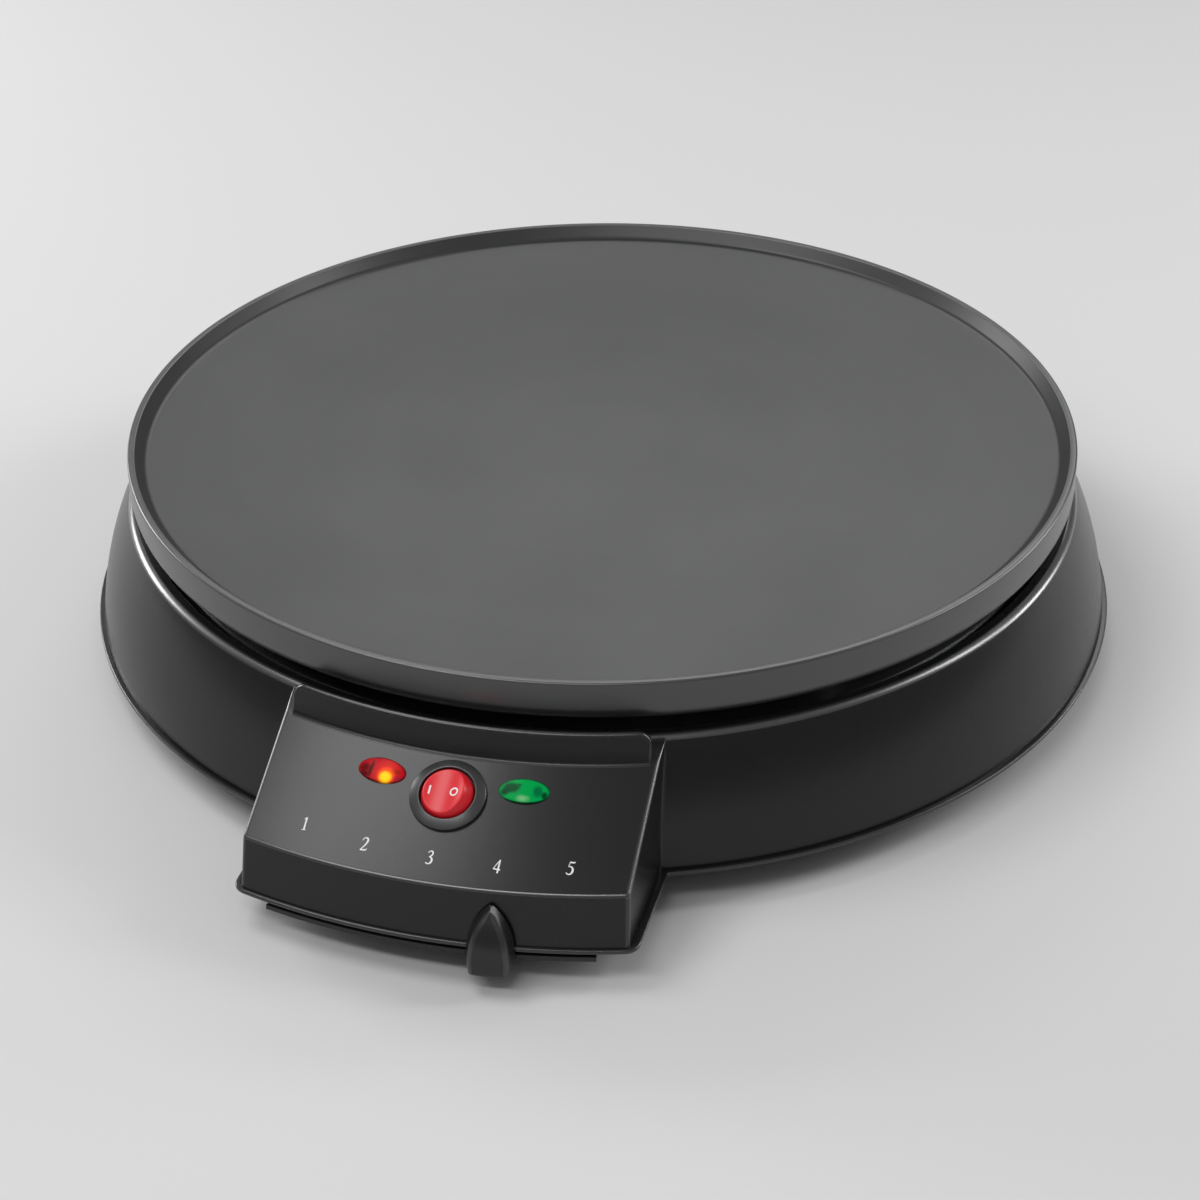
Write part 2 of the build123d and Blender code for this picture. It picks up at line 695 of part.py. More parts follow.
def make_housing():
    skirt_face = make_face([
        Line((0, lip_z), (skirt_base_radius, lip_z)).edge(),
        wall_arc(lip_z, crest_z).edge(),
        Line((shoulder_radius, crest_z), (0, crest_z)).edge(),
        Line((0, crest_z), (0, lip_z)).edge(),
    ])
    corner = skirt_face.vertices().sort_by_distance((shoulder_radius, crest_z, 0))[0]
    outside = revolve(Plane.XZ * fillet(corner, shoulder_fillet), Axis.Z) + make_box_block()
    outside = fillet(outside.edges().filter_by(is_box_root), box_root_fillet)
    lip_plan = front_outline(lip_radius, box_lip_radius, box_lip_half, box_lip_corner)
    outside += Pos(0, 0, lip_z) * extrude(lip_plan, lip_thickness)
    pad = Pos(0, gland_face() - 12, lip_z + gland_height) * Rot(90, 0, 0) * Cylinder(gland_pad_radius, 24)
    outside += pad & rod(gland_face() + lip_radius, lip_z, crest_z)

    under = deck_under
    foot = lip_z - 3 * wall
    bore_face = make_face([
        Line((0, foot), (wall_radius(lip_z, wall), foot)).edge(),
        Line((wall_radius(lip_z, wall), foot), (wall_radius(lip_z, wall), lip_z)).edge(),
        wall_arc(lip_z, under, wall).edge(),
        Line((wall_radius(under, wall), under), (0, under)).edge(),
        Line((0, under), (0, foot)).edge(),
    ])
    inside = revolve(Plane.XZ * bore_face, Axis.Z)
    box_face = offset(box_section(foot - wall), -wall, kind=Kind.INTERSECTION)
    keep = recess_radius + wall
    box_face -= Polygon((0, under), (keep, under), (keep, rim_z), (0, rim_z), align=None)
    inner_box = revolve(Plane.XZ * box_face, Axis.Z)
    between = cheek_prism(wall, box_front_radius + 20, shoulder_radius - 24, foot - wall, crest_z)
    inside += inner_box & between

    posts = [post_on(post_circle, angle, lip_z) for angle in post_angles]
    posts += [post_on(box_post_circle, side * box_post_angle, lip_z) for side in (-1, 1)]
    housing = outside - inside
    housing += [post & outside for post in posts]
    housing -= rod(recess_radius, deck_z, rim_z)
    flare = recess_radius + recess_edge
    mouth = [(recess_radius, crest_z - recess_edge, 0), (flare + 1, crest_z + 1, 0)]
    housing -= lathe((0, deck_z, 0), *mouth, (0, rim_z, 0))
    housing -= rod(deck_opening_radius, lip_z, rim_z)
    housing += make_shield()

    pilot = rod(cover_screw_radius - 0.3, 0, lip_z + cover_screw_length)
    housing -= around(pilot, post_circle, post_angles)
    housing -= around(pilot, box_post_circle, (-box_post_angle, box_post_angle))
    housing -= around(rod(screw_radius + clearance, 0, rim_z), plate_bolt_circle, plate_bolt_angles)
    block_pilot = rod(block_screw_radius - 0.2, lip_z, deck_z)
    housing -= [Pos(x, block_circle) * block_pilot for x in block_screw_x()]
    gland_hole = Pos(0, lip_radius, lip_z + gland_height) * Rot(90, 0, 0)
    housing -= gland_hole * Cylinder(gland_radius + clearance, 60)
    nut_face = wall_radius(lip_z + gland_height, wall)
    nut_room = Cylinder(gland_nut_radius + 1.5, 24)
    housing -= Pos(0, nut_face - 12, lip_z + gland_height) * Rot(90, 0, 0) * nut_room
    for side in (-1, 1):
        plane = panel_plane(side * lens_angle, lens_drop)
        housing -= plane * eye_prism(clearance, -20, 5)
        housing -= plane * eye_prism(lens_flange + clearance, -20, -(wall - 0.5))
    switch = panel_plane(0, switch_drop)
    housing -= switch * rod(barrel_radius + clearance, -20, 5)
    housing -= switch * rod(bezel_radius + clearance, -bezel_seat(), 5)
    return housing


def bezel_seat():
    """Depth of the flat seat that lets the bezel lie on the panel's curve."""
    return 0.5


def make_bottom_cover():
    inset = 2.8
    half = box_lip_half - inset
    plan = front_outline(lip_radius - inset, box_lip_radius - inset, half, box_lip_corner - 1)
    cover = Pos(0, 0, foot_height) * extrude(plan, cover_thickness)
    floor = lip_z - slot_height
    cover += sector(nose_inner_radius - 2, nose_radius, nose_half_angle, floor - nose_thickness, floor)
    cover -= sector(nose_inner_radius, nose_radius + 5, slot_half_angle, floor, lip_z + 1)
    for angle in foot_angles:
        cover -= Pos(*spot(foot_circle, angle)) * rod(foot_neck_radius + clearance, 0, rim_z)
    hole = rod(cover_screw_radius + clearance, 0, rim_z)
    cover -= around(hole, post_circle, post_angles)
    cover -= around(hole, box_post_circle, (-box_post_angle, box_post_angle))
    cover -= rod(bush_radius - 1.5, 0, rim_z)
    vent = extrude(SlotOverall(vent_length, vent_width), cover_thickness)
    for radius in vent_circles:
        for angle in range(0, 360, vent_step):
            cover -= Rot(0, 0, angle) * Pos(0, -radius, foot_height) * vent
    return cover


def make_pivot_bush():
    """A nylon bush that steadies the lever's spindle in the cover."""
    neck = bush_radius - 1.5 - running
    bore = spindle_radius + running
    top = lip_z + bush_height
    return lathe(
        (bore, foot_height, 0), (neck, foot_height, 0), (neck, lip_z, 0),
        (bush_radius, lip_z, 0), (bush_radius, top, 0.5), (bore, top, 0),
    )


def make_feet():
    head = foot_neck_radius + 1.2
    foot = lathe(
        (0, 0, 0),
        (foot_radius - foot_taper, 0, 0.8),
        (foot_radius, foot_height, 0.5),
        (foot_neck_radius, foot_height, 0),
        (foot_neck_radius, lip_z, 0),
        (head, lip_z, 0),
        (foot_neck_radius - 1, lip_z + 2, 0),
        (0, lip_z + 2, 0),
    )
    return around(foot, foot_circle, foot_angles)


def make_cover_screws():
    head = 1.8
    piece = screw(cover_screw_radius - 0.3, 2.8, head, foot_height - head, lip_z + cover_screw_length - 1)
    in_box = around(piece, box_post_circle, (-box_post_angle, box_post_angle))
    return around(piece, post_circle, post_angles) + in_box


# ---- panel fittings ----
def eye_prism(grow, bottom, top):
    """An oval bar, longer across the panel than up it."""
    outline = Ellipse(lens_width / 2 + grow, lens_height / 2 + grow)
    return Pos(0, 0, bottom) * extrude(outline, top - bottom)


def make_lens(side):
    seat = -(wall - 0.5)
    lens = eye_prism(0, seat, lens_dome) + eye_prism(lens_flange, seat - 1.2, seat)
    reach = lens_width / 2
    dome_radius = (reach * reach + lens_dome * lens_dome) / (2 * lens_dome) + 4
    lens &= Pos(0, 0, lens_dome - dome_radius) * Sphere(dome_radius)
    return panel_plane(side * lens_angle, lens_drop) * lens


def holder_top():
    return -(wall - 0.5) - 1.2


def make_lamp_holders():
    half_x, half_y = lens_width / 2 + lens_flange - 1, lens_height / 2 + lens_flange - 0.5
    depth = lamp_length + 2.5
    top = holder_top()
    shell = block((-half_x, half_x), (-half_y, half_y), (top - depth, top))
    room_x, room_y = half_x - 1.2, half_y - 1.2
    shell -= block((-room_x, room_x), (-room_y, room_y), (top - depth + 1.5, top + 1))
    return [panel_plane(side * lens_angle, lens_drop) * shell for side in (-1, 1)]


def make_neon_lamps():
    bottom = holder_top() - lamp_length - 1.0
    top = bottom + lamp_length
    bulb = lathe((0, bottom, 0), (lamp_radius, bottom, 0), (lamp_radius, top, 2.4), (0, top, 0))
    return [panel_plane(side * lens_angle, lens_drop) * bulb for side in (-1, 1)]


def make_switch_body():
    seat = -bezel_seat()
    mouth = rocker_radius + rocker_gap
    body = lathe(
        (0, -barrel_depth, 0),
        (barrel_radius, -barrel_depth, 0.8),
        (barrel_radius, seat, 0),
        (bezel_radius, seat, 0),
        (bezel_radius, bezel_edge, 0.3),
        (bezel_mouth_radius, bezel_height, 0.3),
        (mouth, 0, 0),
        (mouth, -barrel_depth + 2, 0),
        (0, -barrel_depth + 2, 0),
    )
    pin = Rot(90, 0, 0) * Cylinder(trunnion_radius + running, 4 * barrel_radius)
    pin = Pos(0, 0, -rocker_pivot_depth) * pin & rod(barrel_radius - 0.1, -barrel_depth, bezel_height)
    return panel_plane(0, switch_drop) * (body - pin)


def rocker_frame():
    """The rocker's pivot, turned so that its left side is pressed in."""
    return panel_plane(0, switch_drop, -rocker_pivot_depth) * Rot(0, -rocker_tilt, 0)


def make_rocker():
    rim = rocker_rim_height + rocker_pivot_depth
    ball = Sphere(rocker_radius) & rod(rocker_radius + 1, -rocker_radius / 2, rocker_radius)
    edge = math.sqrt(rocker_radius * rocker_radius - rim * rim)
    sag = rocker_dish - math.sqrt(rocker_dish * rocker_dish - edge * edge)
    dish = Pos(0, 0, rim - sag + rocker_dish) * Rot(90, 0, 0) * Cylinder(rocker_dish, 4 * rocker_radius)
    around_ball = (-rocker_radius, rocker_radius)
    cap = block(around_ball, around_ball, (rim - 2 * sag, 2 * rocker_radius))
    body = ball - (cap & dish) - rod(rocker_radius + 1, rim, 2 * rocker_radius)
    reach = barrel_radius - 0.3
    body += Rot(90, 0, 0) * Cylinder(trunnion_radius, 2 * reach)
    return rocker_frame() * fillet_rim(body, rim)


def fillet_rim(body, rim):
    """Softens the rocker's upper edge."""
    edges = body.edges().filter_by(lambda e: e.center().Z > rim - 1.5 and e.length > 5)
    return fillet(edges, 0.35)


def make_switch_tabs():
    along = (-barrel_depth - tab_length, -barrel_depth)
    tab = block((-tab_width / 2, tab_width / 2), (-tab_thickness / 2, tab_thickness / 2), along)
    return [panel_plane(0, switch_drop) * Pos(x, 0) * tab for x in switch_tab_x]


# ---- mains entry ----
def gland_face():
    """The gland's pad stands just proud of the wall all around."""
    levels = [lip_z + gland_height + side * gland_pad_radius for side in (-1, 0, 1)]
    return max(wall_radius(z) for z in levels) + gland_pad_rise


def make_gland():
    face = gland_face()
    inner = wall_radius(lip_z + gland_height, wall) - gland_nut_thickness - 2
    shell = lathe(
        (gland_bore_radius, 0, 0.8), (gland_bore_radius, face + gland_flange_thickness - inner, 0.8),
        (gland_flange_radius - 1, face + gland_flange_thickness - inner, 0.8),
        (gland_flange_radius, face - inner, 0), (gland_radius, face - inner, 0), (gland_radius, 0, 0.5),
    )
    return Plane(origin=(0, inner, lip_z + gland_height), x_dir=(1, 0, 0), z_dir=(0, 1, 0)) * shell


def make_gland_nut():
    seat = wall_radius(lip_z + gland_height, wall)
    nut = extrude(RegularPolygon(gland_nut_radius, 6), gland_nut_thickness)
    nut -= rod(gland_radius + running, -1, 2 * gland_nut_thickness)
    origin = (0, seat - gland_nut_thickness, lip_z + gland_height)
    return Plane(origin=origin, x_dir=(1, 0, 0), z_dir=(0, 1, 0)) * nut


# ---- wiring ----
def block_ways():
    return [-block_pitch, 0.0, block_pitch]


def block_screw_x():
    """The block's two fixing screws stand between its three ways."""
    return [-block_pitch / 2, block_pitch / 2]


def way_z():
    return deck_under - block_way_depth


def make_terminal_block():
    length, width, height = block_size
    bottom = deck_under - height
    body = Pos(0, block_circle, bottom + height / 2) * Box(length, width, height)
    body = fillet(body.edges().filter_by(Axis.Z), 1.0)
    for x in block_ways():
        body -= Pos(x, block_circle, way_z()) * Rot(90, 0, 0) * Cylinder(wire_radius + clearance, 2 * width)
        body -= Pos(x, block_circle) * rod(block_screw_radius + clearance, bottom - 1, way_z())
    for x in block_screw_x():
        body -= Pos(x, block_circle) * rod(block_screw_radius + clearance, bottom - 1, deck_z)
    return body


def make_terminal_screws():
    bottom = deck_under - block_size[2]
    piece = rod(block_screw_radius, bottom, way_z() - wire_radius) - Pos(0, 0, bottom) * Box(9, 0.6, 1.6)
    return [Pos(x, block_circle) * piece for x in block_ways()]


def make_block_screws():
    bottom = deck_under - block_size[2]
    head = 1.6
    piece = screw(block_screw_radius - 0.3, 2.0, head, bottom - head, deck_z - 0.2)
    return [Pos(x, block_circle) * piece for x in block_screw_x()]


def switch_tab_end(x):
    """Where a wire meets the inner face of a switch tab, and a spot straight out from there."""
    plane = panel_plane(0, switch_drop)
    spots = [(x, tab_thickness / 2 + lead, -barrel_depth - tab_length / 2) for lead in (0, 12)]
    return [plane.from_local_coords(Vector(spot)) for spot in spots]


def make_wires():
    way_y = block_circle - block_size[1] / 4
    left_way, middle_way, right_way = [Vector(x, way_y, way_z()) for x in block_ways()]
    left_tab, middle_tab, right_tab = [switch_tab_end(x) for x in switch_tab_x]
    outer_pin, inner_pin = [Vector(leg.X, leg.Y, leg_end_z() - pin_length) for leg in leg_columns()]
    exit_y = block_circle - block_size[1] / 2 - 2 * wire_bend
    tab_z = bracket_bottom() - thermostat_height * 0.7
    reach = thermostat_radius + 4
    first_tab = Vector(reach / 2, reach * math.sqrt(3) / 2, tab_z)
    second_tab = Vector(-first_tab.X, first_tab.Y, tab_z)
    low = lip_z + wire_rise
    above_pan = deck_z - pan_depth + 4
    lead = fuse_length / 2 + 4
    turn_x = lead + 12
    level = wire_level
    right_turn, left_turn, middle_turn = wire_front
    middle_lane = block_pitch
    spread = wire_right_lane - block_pitch
    runs = [
        [
            right_way, (block_pitch, exit_y, way_z()), (wire_right_lane, exit_y - 1.6 * spread, level),
            (wire_right_lane, -right_turn, level), right_tab[1], right_tab[0],
        ],
        [
            middle_way, (0, exit_y, way_z()), (0, exit_y - 5 * wire_bend, low),
            (inner_pin.X, inner_pin.Y, low), inner_pin,
        ],
        [
            left_way, (-block_pitch, exit_y + wire_bend / 2, way_z()),
            (-wire_left_lane, exit_y - 1.5 * wire_bend, level + 3),
            (-wire_left_lane, -left_turn, level), left_tab[1], left_tab[0],
        ],
        [
            middle_tab[0], middle_tab[1], (middle_lane, -middle_turn, level + 3),
            (first_tab.X, first_tab.Y, level + 3), first_tab,
        ],
        [
            second_tab, second_tab - Vector(0, 0, 5), (-turn_x, 2, above_pan),
            (-turn_x, -fuse_offset, above_pan), (-turn_x, -fuse_offset, fuse_z()),
            (-lead, -fuse_offset, fuse_z()),
        ],
        [
            (lead, -fuse_offset, fuse_z()), (turn_x, -fuse_offset, fuse_z()),
            (turn_x, -fuse_offset, above_pan + 4),
            (16, -12, above_pan + 2), (16, -4, level + 6), (18, 30, level + 6),
            (-42, 66, level), (outer_pin.X, outer_pin.Y, low), outer_pin,
        ],
    ]
    wires = []
    for run in runs:
        spots = [Vector(p) for p in run]
        path = FilletPolyline(*spots, radius=wire_bend)
        start = Plane(origin=spots[0], z_dir=spots[1] - spots[0])
        wires.append(sweep(start * Circle(wire_radius), path=path))
    return wires


parts = {
    "hotplate": make_hotplate(),
    "heating_element": make_heating_element(),
    "element_insulators": make_insulators(),
    "element_pins": make_element_pins(),
    "element_clamps": make_clamps(),
    "clamp_screws": make_clamp_screws(),
    "heat_reflector": make_heat_reflector(),
    "plate_standoffs": make_standoffs(),
    "plate_washers": make_plate_washers(),
    "plate_screws": make_plate_screws(),
    "thermostat_bracket": make_thermostat_bracket(),
    "underside_screws": make_underside_screws(),
    "thermostat_body": make_thermostat_body(),
    "thermostat_tabs": make_thermostat_tabs(),
    "thermal_fuse": make_thermal_fuse(),
    "fuse_clip": make_fuse_clip(),
    "thermostat_spindle": make_spindle(),
    "lever_hub": make_lever_hub(),
    "hub_screw": make_hub_screw(),
    "lever_arm": make_lever_arm(),
    "lever_knob": make_lever_knob(),
    "skirt_housing": make_housing(),
    "bottom_cover": make_bottom_cover(),
    "pivot_bush": make_pivot_bush(),
    "rubber_feet": make_feet(),
    "cover_screws": make_cover_screws(),
    "red_lamp_lens": make_lens(-1),
    "green_lamp_lens": make_lens(1),
    "lamp_holders": make_lamp_holders(),
    "neon_lamps": make_neon_lamps(),
    "switch_body": make_switch_body(),
    "switch_rocker": make_rocker(),
    "switch_tabs": make_switch_tabs(),
    "cord_gland": make_gland(),
    "gland_nut": make_gland_nut(),
    "terminal_block": make_terminal_block(),
    "terminal_screws": make_terminal_screws(),
    "block_screws": make_block_screws(),
    "internal_wires": make_wires(),
}

# The part's own frame stands on the table, under the middle of the whole outline.
whole = {name: [s for p in (piece if isinstance(piece, list) else [piece]) for s in p.solids()]
         for name, piece in parts.items()}
boxes = [solid.bounding_box() for solids in whole.values() for solid in solids]
shift = Pos(0, -(min(b.min.Y for b in boxes) + max(b.max.Y for b in boxes)) / 2, 0)
os.makedirs("parts", exist_ok=True)
for name, solids in whole.items():
    moved = [shift * solid for solid in solids]
    export_step(moved[0] if len(moved) == 1 else Compound(moved), f"parts/{name}.step")
print("plate axis at y =", round(shift.position.Y, 4))
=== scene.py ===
import json
import math
from functools import partial

import bmesh
import bpy
from mathutils import Matrix, Vector


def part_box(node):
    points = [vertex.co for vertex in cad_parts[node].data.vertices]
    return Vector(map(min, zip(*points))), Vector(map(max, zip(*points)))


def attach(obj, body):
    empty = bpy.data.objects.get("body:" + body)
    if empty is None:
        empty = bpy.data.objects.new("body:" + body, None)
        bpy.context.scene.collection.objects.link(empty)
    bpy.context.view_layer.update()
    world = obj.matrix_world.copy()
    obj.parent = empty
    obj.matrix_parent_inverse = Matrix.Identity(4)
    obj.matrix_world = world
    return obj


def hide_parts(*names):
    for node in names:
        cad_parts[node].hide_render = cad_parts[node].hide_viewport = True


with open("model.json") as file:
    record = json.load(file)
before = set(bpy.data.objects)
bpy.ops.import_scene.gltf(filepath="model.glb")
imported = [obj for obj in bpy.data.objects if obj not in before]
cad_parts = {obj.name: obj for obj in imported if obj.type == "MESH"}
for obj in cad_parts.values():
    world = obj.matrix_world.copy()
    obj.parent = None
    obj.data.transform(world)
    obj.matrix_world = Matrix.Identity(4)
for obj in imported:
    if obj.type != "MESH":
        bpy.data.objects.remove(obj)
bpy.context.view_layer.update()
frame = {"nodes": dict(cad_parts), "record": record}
nodes = frame["nodes"]
print("frame loaded:", len(nodes), "CAD nodes")

mm = 0.001
plateLow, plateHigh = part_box("hotplate")
axisY = (plateLow.y + plateHigh.y) / 2  # the plate's axis; sizes below are in mm from it
weldGap = 0.002 * mm
tinyEdge = 0.001 * mm

# the panel slopes down from the heat shield to the front of the control box
panel = {"topRadius": 163.5, "topHeight": 48.75, "footRadius": 199.75, "footHeight": 29.5}
panelRun = panel["footRadius"] - panel["topRadius"]
panelSlope = math.atan2(panel["topHeight"] - panel["footHeight"], panelRun)


def at(x, y, z):
    return Vector((x * mm, y * mm + axisY, z * mm))


def panelFrame(angle, drop, lift=0.0):
    # mm on the panel to metres: X to the right, Y up the slope, Z outwards
    lean, down = math.sin(panelSlope), math.cos(panelSlope)
    radius = panel["topRadius"] + drop * down + lift * lean
    height = panel["topHeight"] - drop * lean + lift * down
    turn = math.radians(angle)
    right = Vector((math.cos(turn), math.sin(turn), 0))
    out = Vector((lean * math.sin(turn), -lean * math.cos(turn), down))
    up = out.cross(right)
    spin = Matrix((right, up, out)).transposed().to_4x4()
    spot = at(radius * math.sin(turn), -radius * math.cos(turn), height)
    return Matrix.Translation(spot) @ spin @ Matrix.Scale(mm, 4)


def shares(steps, closed=False, first=0):
    # even steps from 0 towards 1, with 1 itself where closed
    return [i / steps for i in range(first, steps + closed)]


def quarter(steps):
    return [math.pi / 2 * t for t in shares(steps, closed=True)]


def heading(turn):
    return Vector((math.sin(turn), math.cos(turn)))


def bend(start, corner, end, t):
    # a point on the curve that cuts a corner
    return (1 - t) ** 2 * start + 2 * t * (1 - t) * corner + t * t * end


def markSharp(mesh, limit):
    work = bmesh.new()
    work.from_mesh(mesh)
    for edge in work.edges:
        edge.smooth = len(edge.link_faces) != 2 or edge.calc_face_angle(0) < math.radians(limit)
    for face in work.faces:
        face.smooth = True
    work.to_mesh(mesh)
    work.free()


edgeTurn = {"start": 3.2, "full": 5.7}  # degrees between faces at which an edge counts as rounded


def markEdges(mesh, polish):
    # 0 on flat and gently curved parts, 1 where a rounded outer edge turns
    work = bmesh.new()
    work.from_mesh(mesh)
    marks = []
    for vert in work.verts:
        edges = [edge for edge in vert.link_edges if len(edge.link_faces) == 2]
        bends = [edge.calc_face_angle_signed(0) for edge in edges]
        turn = math.degrees(max(bends, default=0)) - edgeTurn["start"]
        marks.append(polish * min(1.0, max(0.0, turn / (edgeTurn["full"] - edgeTurn["start"]))))
    work.free()
    mesh.attributes.new("edgeTouch", "FLOAT", "POINT").data.foreach_set("value", marks)


def slotFinish(slotName):
    return finishes[slotFinishes[slotName]]


def finishPiece(piece, body, slotName, stands=(), material=None, sharp=35, polish=1.0):
    # merges, points the faces outwards and hands the piece to its body
    work = bmesh.new()
    work.from_mesh(piece.data)
    bmesh.ops.remove_doubles(work, verts=work.verts, dist=weldGap)
    bmesh.ops.dissolve_degenerate(work, edges=work.edges, dist=tinyEdge)
    bmesh.ops.recalc_face_normals(work, faces=work.faces)
    work.to_mesh(piece.data)
    work.free()
    markSharp(piece.data, sharp)
    markEdges(piece.data, polish)
    if not piece.data.materials:
        piece.data.materials.append(material or slotFinish(slotName))
    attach(piece, body)
    if stands:
        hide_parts(*stands)
    return piece


def meshPiece(name, points, faces):
    mesh = bpy.data.meshes.new(name)
    mesh.from_pydata([tuple(p) for p in points], [], faces)
    piece = bpy.data.objects.new(name, mesh)
    bpy.context.scene.collection.objects.link(piece)
    return piece


def loftFaces(rings, count, start=0, closed=True):
    # quads between neighbouring rings of the same count
    faces = []
    for i in range(rings - 1):
        low, high = start + i * count, start + (i + 1) * count
        for j in range(count if closed else count - 1):
            k = (j + 1) % count
            faces.append((low + j, low + k, high + k, high + j))
    return faces


def capFaces(last, count, tip):
    # fans that close a loft: its last ring to the point tip, its first ring to the next point
    pairs = [(i, (i + 1) % count) for i in range(count)]
    return [(last + i, last + k, tip) for i, k in pairs] + [(k, i, tip + 1) for i, k in pairs]


def roundedPath(corners, steps=6):
    # (x, y, corner radius) points to a path with its corners rounded
    path = []
    for i, (x, y, radius) in enumerate(corners):
        here = Vector((x, y))
        if radius <= 0 or i in (0, len(corners) - 1):
            path.append(here)
            continue
        before = (Vector(corners[i - 1][:2]) - here).normalized()
        after = (Vector(corners[i + 1][:2]) - here).normalized()
        half = before.angle(after) / 2
        reach = radius / math.tan(half)
        centre = here + (before + after).normalized() * (radius / math.sin(half))
        first, last = here + before * reach - centre, here + after * reach - centre
        sweep = first.angle(last)
        for t in shares(steps, closed=True):
            spoke = first * math.sin((1 - t) * sweep) + last * math.sin(t * sweep)
            path.append(centre + spoke / math.sin(sweep))
    return path


def feed(tree, value, socket):
    # a value, a colour or another node's output
    if isinstance(value, bpy.types.NodeSocket):
        tree.links.new(value, socket)
    elif socket.type == "RGBA":
        socket.default_value = (*value, 1)
    else:
        socket.default_value = value


def addNode(tree, kind, inputs=None, **settings):
    node = tree.nodes.new(kind)
    for name, value in settings.items():
        setattr(node, name, value)
    for key, value in (inputs or {}).items():
        feed(tree, value, node.inputs[key])
    return node


def mathNode(tree, operation, *values, clamp=False):
    inputs = dict(enumerate(values))
    return addNode(tree, "ShaderNodeMath", inputs, operation=operation, use_clamp=clamp).outputs[0]


def shaderGroup(name, inputs, outputs):
    tree = bpy.data.node_groups.new(name, "ShaderNodeTree")
    for label, value in inputs.items():
        socket = tree.interface.new_socket(label, in_out="INPUT", socket_type="NodeSocketFloat")
        socket.default_value = value
    for label in outputs:
        tree.interface.new_socket(label, in_out="OUTPUT", socket_type="NodeSocketFloat")
    given, end = addNode(tree, "NodeGroupInput").outputs, addNode(tree, "NodeGroupOutput").inputs
    return tree, given, end, partial(mathNode, tree)


def objectCoords(tree):
    return addNode(tree, "ShaderNodeTexCoord").outputs["Object"]


def makeGrainGroup():
    # the spark-eroded grain of a moulded part, and the slow drift of its gloss
    sizes = {"Grains Per Metre": 1800.0, "Drifts Per Metre": 14.0}
    tree, given, end, _ = shaderGroup("mouldGrain", sizes, ["Height", "Drift"])
    coords = objectCoords(tree)
    kinds = (("Height", "Grains Per Metre", 2.0, 0.65), ("Drift", "Drifts Per Metre", 3.0, 0.5))
    for label, scale, detail, rough in kinds:
        inputs = {"Vector": coords, "Scale": given[scale], "Detail": detail, "Roughness": rough}
        feed(tree, addNode(tree, "ShaderNodeTexNoise", inputs).outputs["Fac"], end[label])
    return tree


def makeRingGroup():
    # fine rings left by turning, around the plate's axis, on faces and sides alike
    sizes = {"Rings Per Metre": 900.0, "Axis Y": 0.0, "Waver": 1.2}
    tree, given, end, do = shaderGroup("turnedRings", sizes, ["Rings", "Bands"])
    spot = addNode(tree, "ShaderNodeSeparateXYZ", {0: objectCoords(tree)}).outputs
    offX, offY = spot["X"], do("SUBTRACT", spot["Y"], given["Axis Y"])
    reach = do("SQRT", do("ADD", do("MULTIPLY", offX, offX), do("MULTIPLY", offY, offY)))
    safe = do("MAXIMUM", reach, 0.0005)  # keeps the very middle from dividing by zero
    sideX, sideY = (do("MULTIPLY", do("DIVIDE", off, safe), given["Waver"]) for off in (offX, offY))
    out, up = (do("MULTIPLY", way, given["Rings Per Metre"]) for way in (reach, spot["Z"]))
    coords = addNode(tree, "ShaderNodeCombineXYZ", {"X": out, "Y": up, "Z": sideX}).outputs[0]
    for label, scale in (("Rings", 1.0), ("Bands", 0.06)):
        inputs = {"Vector": coords, "W": sideY, "Scale": scale, "Detail": 2.0}
        noise = addNode(tree, "ShaderNodeTexNoise", inputs, noise_dimensions="4D")
        feed(tree, noise.outputs["Fac"], end[label])
    return tree


def makeDustGroup():
    # a thin scatter of dust and lint, thicker in soft clouds
    sizes = {"Specks Per Metre": 420.0, "Amount": 0.1}
    tree, given, end, do = shaderGroup("restingDust", sizes, ["Mask"])
    coords = objectCoords(tree)
    inputs = {"Vector": coords, "Scale": given["Specks Per Metre"], "Randomness": 1.0}
    specks = addNode(tree, "ShaderNodeTexVoronoi", inputs).outputs["Distance"]
    inputs = {"Vector": coords, "Scale": 22.0, "Detail": 3.0}
    clouds = addNode(tree, "ShaderNodeTexNoise", inputs).outputs["Fac"]
    near = do("SUBTRACT", 1.0, do("MULTIPLY", specks, 5.0), clamp=True)
    cloudy = do("MULTIPLY", do("SUBTRACT", clouds, 0.42, clamp=True), 4.0, clamp=True)
    feed(tree, do("MULTIPLY", do("MULTIPLY", near, cloudy), given["Amount"]), end["Mask"])
    return tree


def makeEdgeGroup():
    # rounded edges are a little more polished than faces; markEdges writes them on the mesh
    tree, given, end, do = shaderGroup("polishedEdges", {"Amount": 1.0}, ["Mask"])
    settings = {"attribute_type": "GEOMETRY", "attribute_name": "edgeTouch"}
    marks = addNode(tree, "ShaderNodeAttribute", **settings)
    feed(tree, do("MULTIPLY", marks.outputs["Fac"], given["Amount"], clamp=True), end["Mask"])
    return tree


grainGroup, ringGroup = makeGrainGroup(), makeRingGroup()
dustGroup, edgeGroup = makeDustGroup(), makeEdgeGroup()
print("shared effects made")


def newMaterial(name):
    material = bpy.data.materials.new(name)
    material.use_nodes = True
    return material, material.node_tree, material.node_tree.nodes["Principled BSDF"].inputs


def placeGroup(tree, group, **values):
    inputs = {label.replace("_", " "): value for label, value in values.items()}
    return addNode(tree, "ShaderNodeGroup", inputs, node_tree=group).outputs


def blendColours(tree, mask, first, second):
    inputs = {"Factor": mask, 6: first, 7: second}
    return addNode(tree, "ShaderNodeMix", inputs, data_type="RGBA").outputs[2]


